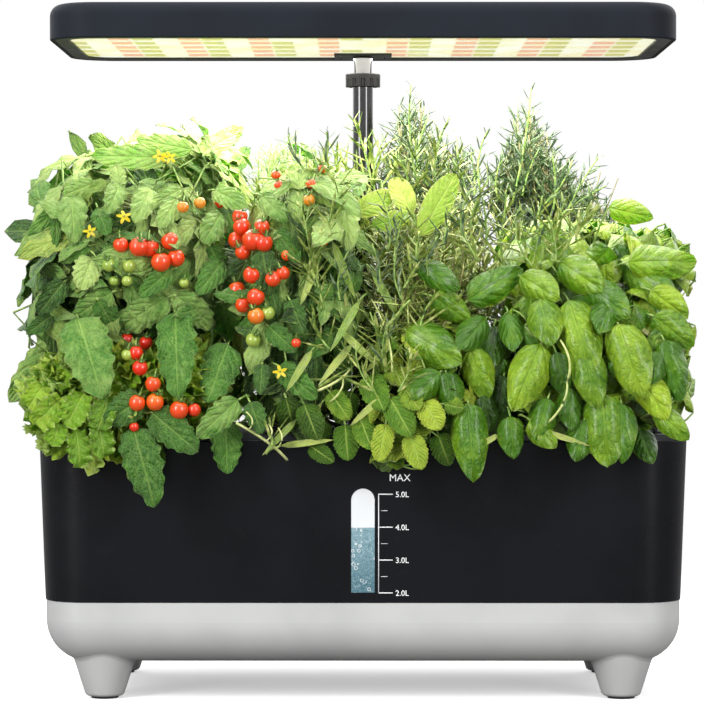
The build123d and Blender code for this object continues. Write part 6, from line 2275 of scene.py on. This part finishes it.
@dataclass
class Casework:
    """Finishes of the tank, pole, lamp and inner parts, which keep their CAD shapes."""

    finishes: Finishes
    baskets: int = 12
    dressed = {
        "tub_grey": "reservoir", "gloss_black": "outer_sleeve", "clear_window": "level_window",
        "water": "water", "rubber_dark": "foot_pads window_seal pump_suction_feet",
        "deck_black": "grow_deck fill_lid", "sponge_brown": "grow_sponges", "pin_steel": "fill_lid_pin",
        "pump_black": "pump_body pump_cover pump_outlet", "pump_white": "pump_impeller",
        "lead_black": "pump_lead lamp_lead", "inlet_black": "dc_inlet",
        "collar_black": "pole_socket lock_collar", "pole_gloss": "pole_lower_tube pole_upper_tube",
        "bush_white": "slide_bush", "hood_black": "hood_shell", "bezel_black": "hood_bezel pole_bracket",
        "diffuser_cream": "led_diffuser", "board_aluminium": "led_board",
        "led_white": "led_chips_white", "led_red": "led_chips_red", "led_warm": "led_chips_warm",
        "screw_steel": "hood_screws", "board_green": "control_board",
        "button_grey": "light_button pump_button timer_button",
    }

    def build(self) -> None:
        """Give every CAD node its finish."""
        baskets = " ".join(f"grow_basket_{number + 1:02d}" for number in range(self.baskets))
        for finish, nodes in (*self.dressed.items(), ("basket_black", baskets)):
            for node in nodes.split():
                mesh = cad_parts[node].data
                mesh.materials.clear()
                mesh.materials.append(self.finishes[finish])
                PLACED.append(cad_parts[node])
        LevelScale(self.finishes).build()


# The garden


@dataclass
class Garden:
    """All twelve plants."""

    sight: Sight
    finishes: Finishes
    columns: tuple[float, ...] = (-0.108, -0.036, 0.036, 0.108)
    rows: tuple[float, ...] = (-0.05, 0.0, 0.05)

    def pod(self, column: int, row: int) -> Pair:
        """Return a pod's place."""
        return self.columns[column], self.rows[row]

    def broad(self) -> tuple[PlantSpec, ...]:
        """Return the broad-leaved plants."""
        basil = (
            Layer(0.35, 0.016, (0.038, 0.05), 0.72, (0.1, 0.3), 1.2, 0.2),
            Layer(0.34, 0.002, (0.026, 0.04), 0.66, (0.35, 0.8), 1.6, 0.1, 1.0),
            Layer(0.2, -0.001, (0.014, 0.024), 0.6, (0.6, 0.95), 0.6, 0.8),
        )
        tomato = (
            Layer(0.22, 0.02, (0.07, 0.09), 0.42, (0.05, 0.25), 0.9, 0.3),
            Layer(0.16, 0.003, (0.05, 0.075), 0.4, (0.3, 0.75), 0.9, 0.5),
        )
        mint = (
            Layer(0.6, 0.013, (0.026, 0.034), 0.66, (0.1, 0.3), 0.5, 0.5),
            Layer(1.0, 0.0, (0.015, 0.024), 0.6, (0.4, 0.9), 0.4, 0.7),
        )
        lettuce = (
            Layer(0.5, 0.016, (0.03, 0.04), 1.0, (0.05, 0.3), 0.5, 0.6),
            Layer(1.3, 0.004, (0.018, 0.027), 1.1, (0.25, 0.8), 0.6, 0.7),
        )
        return tuple(
            PlantSpec(name, self.pod(column, row), blade, finish, finish, layers, seed, *more)
            for name, column, row, blade, finish, layers, seed, *more in (
                ("lettuce_plant", 0, 0, FRILL, "lettuce_leaf", lettuce, 11, False, 0.0006, 0.138),
                ("tomato_plant_front", 1, 0, LEAFLET, "tomato_leaf", tomato, 12, True),
                ("mint_plant", 2, 0, MINT, "mint_leaf", mint, 13),
                ("basil_plant_front", 3, 0, BASIL, "basil_leaf", basil, 14, False, 0.0006, 0.142),
                ("tomato_plant_left", 0, 1, LEAFLET, "tomato_leaf", tomato, 15, True),
                ("basil_plant_middle", 3, 1, BASIL, "basil_leaf", basil, 16),
                ("tomato_plant_rear", 0, 2, LEAFLET, "tomato_leaf", tomato, 17, True),
            )
        )

    def needled(self) -> tuple[NeedleSpec, ...]:
        """Return the needle-leaved plants."""
        return (
            NeedleSpec(
                "tarragon_plant", self.pod(1, 1), 0.5, (0.04, 0.07), 0.024, 0.0032, 0.13, 0.75,
                "tarragon_needle", "soft_stem", "tarragon_leaf", 21, 0.7, 0.55,
            ),
            NeedleSpec(
                "thyme_plant", self.pod(2, 1), 0.75, (0.035, 0.06), 0.015, 0.0025, 0.17, 0.95,
                "tarragon_needle", "woody_stem", "thyme_leaf", 22, 0.8, 0.5,
            ),
            NeedleSpec(
                "dill_plant", self.pod(1, 2), 0.55, (0.045, 0.075), 0.0085, 0.0023, 0.07, 0.7,
                "dill_thread", "soft_stem", "dill_leaf", 23, 0.9, 0.4, fronds=9,
            ),
            *(
                NeedleSpec(
                    f"rosemary_plant_{side}", self.pod(column, 2), 0.95, (0.036, 0.062), 0.018, 0.0027,
                    0.115, 0.95, "rosemary_needle", "woody_stem", "rosemary_leaf", 22 + column, 0.9, 0.55,
                )
                for side, column in (("centre", 2), ("right", 3))
            ),
        )

    def set_leaves(self) -> None:
        """Set the leaves that show most."""
        for name, blade, finish, slot, poses in (
            ("tomato_leaves_in_front", FINE_LEAFLET, "tomato_leaf", "tomato_leaf", TOMATO_LEAVES),
            ("basil_leaves_in_front", FINE_BASIL, "basil_leaf", "basil_leaf", BASIL_LEAVES),
            ("mint_leaves_in_front", FINE_MINT, "mint_leaf", "mint_leaf", MINT_LEAVES),
            ("lettuce_leaves_in_front", FRILL, "lettuce_leaf", "lettuce_leaf", FRILLED_LEAVES),
            ("sage_leaves", FINE_SAGE, "sage_leaf", "thyme_leaf", SAGE_LEAVES),
            ("narrow_leaves_in_front", NARROW, "tarragon_leaf", "tarragon_leaf", NARROW_LEAVES),
        ):
            setter = LeafSetter(name, blade, finish, slot, self.sight, self.finishes)
            for row in poses:
                setter.add(Pose.read(*row))
            setter.build()

    def set_fruit(self) -> None:
        """Set the tomatoes, the flowers and the pale stems."""
        eye = Vector(self.sight.place)
        crop, blossom, stems = Crop(self.finishes), Blossom(self.finishes), Stalks("pale_stems")
        for u, v, size, ripeness in TOMATOES:
            place = self.sight.touch(u, v, -0.08)
            radius = size * (place.y - eye.y) / self.sight.spread
            place = place + (eye - place).normalized() * (radius * 0.5 + 0.003)
            crop.fruit.append((place, radius, ripeness))
        crop.build()
        for u, v, size in FLOWERS:
            place = self.sight.touch(u, v, -0.08)
            blossom.add(place + (eye - place).normalized() * 0.008, size, (0.2, -1.0, 0.35))
        blossom.build()
        for base, tip, radius in PALE_STEMS:
            ends = [self.sight.touch(*spot, -0.1) for spot in (base, tip)]
            ends = [np.array(end + (eye - end).normalized() * 0.006) for end in ends]
            bow = np.array([[0.003, -0.003, 0.0]])
            stems.add(bowed(ends[0][None], ends[1][None], bow, 10), radius * 0.55, radius * 0.7)
        stems.build(self.finishes["pale_stem"], "tarragon_leaf")

    def set_sprigs(self, nodes: SprigNodes) -> None:
        """Set the sprigs that stand out of the herbs.

        Args:
            nodes: The geometry nodes that grow needles.
        """
        eye = np.array(self.sight.place)
        for name, sprigs, finish, slot, needle, seed in (
            ("dark_sprigs", DARK_SPRIGS, "rosemary_needle", "rosemary_leaf", 0.015, 61),
            ("pale_sprigs", PALE_SPRIGS, "tarragon_needle", "tarragon_leaf", 0.019, 62),
        ):
            lines = []
            for across, down, *tip in sprigs:
                start = np.array(self.sight.touch(across, down, 0.02))
                end = np.array(self.sight.at(*tip, start[1] + 0.004))
                start, end = (spot + unit(eye - spot) * 0.006 for spot in (start, end))
                bow = np.array([[0.003 * math.sin(7.0 * across), 0.002, 0.0]])
                lines.append(bowed(start[None], end[None], bow, 8)[0])
            settings = {
                "Spacing": 0.0021, "Length": needle, "Slimness": 0.115, "Lean": 0.85, "Seed": seed,
                "Finish": self.finishes[finish],
            }
            mesh = nodes.clothe(name, np.array(lines), settings)
            place_piece(mesh, None)
            stalks = Stalks(name + "_stalks")
            stalks.add(np.array(lines), 0.0007, 0.0004)
            stalks.build(self.finishes["soft_stem"], slot)

    def build(self) -> None:
        """Make every plant."""
        broad, needled = self.broad(), self.needled()
        Canopy.survey([spec.node for spec in (*broad, *needled)])
        self.set_leaves()
        self.set_fruit()
        for spec in broad:
            BroadPlant(spec, self.finishes).build()
        nodes = SprigNodes()
        self.set_sprigs(nodes)
        for spec in needled:
            NeedlePlant(spec, self.finishes, nodes).build()


def main() -> None:
    """Build the studio, the casework and the garden, report each piece and note the sizes."""
    logging.basicConfig(level=logging.INFO)
    sight, finishes = Sight(), Finishes()
    for part in (Studio(sight), Casework(finishes), Garden(sight, finishes)):
        part.build()
    for piece in PLACED:
        LOG.info("%s has %d faces", piece.name, len(piece.data.polygons))


if __name__ == "__main__":
    main()
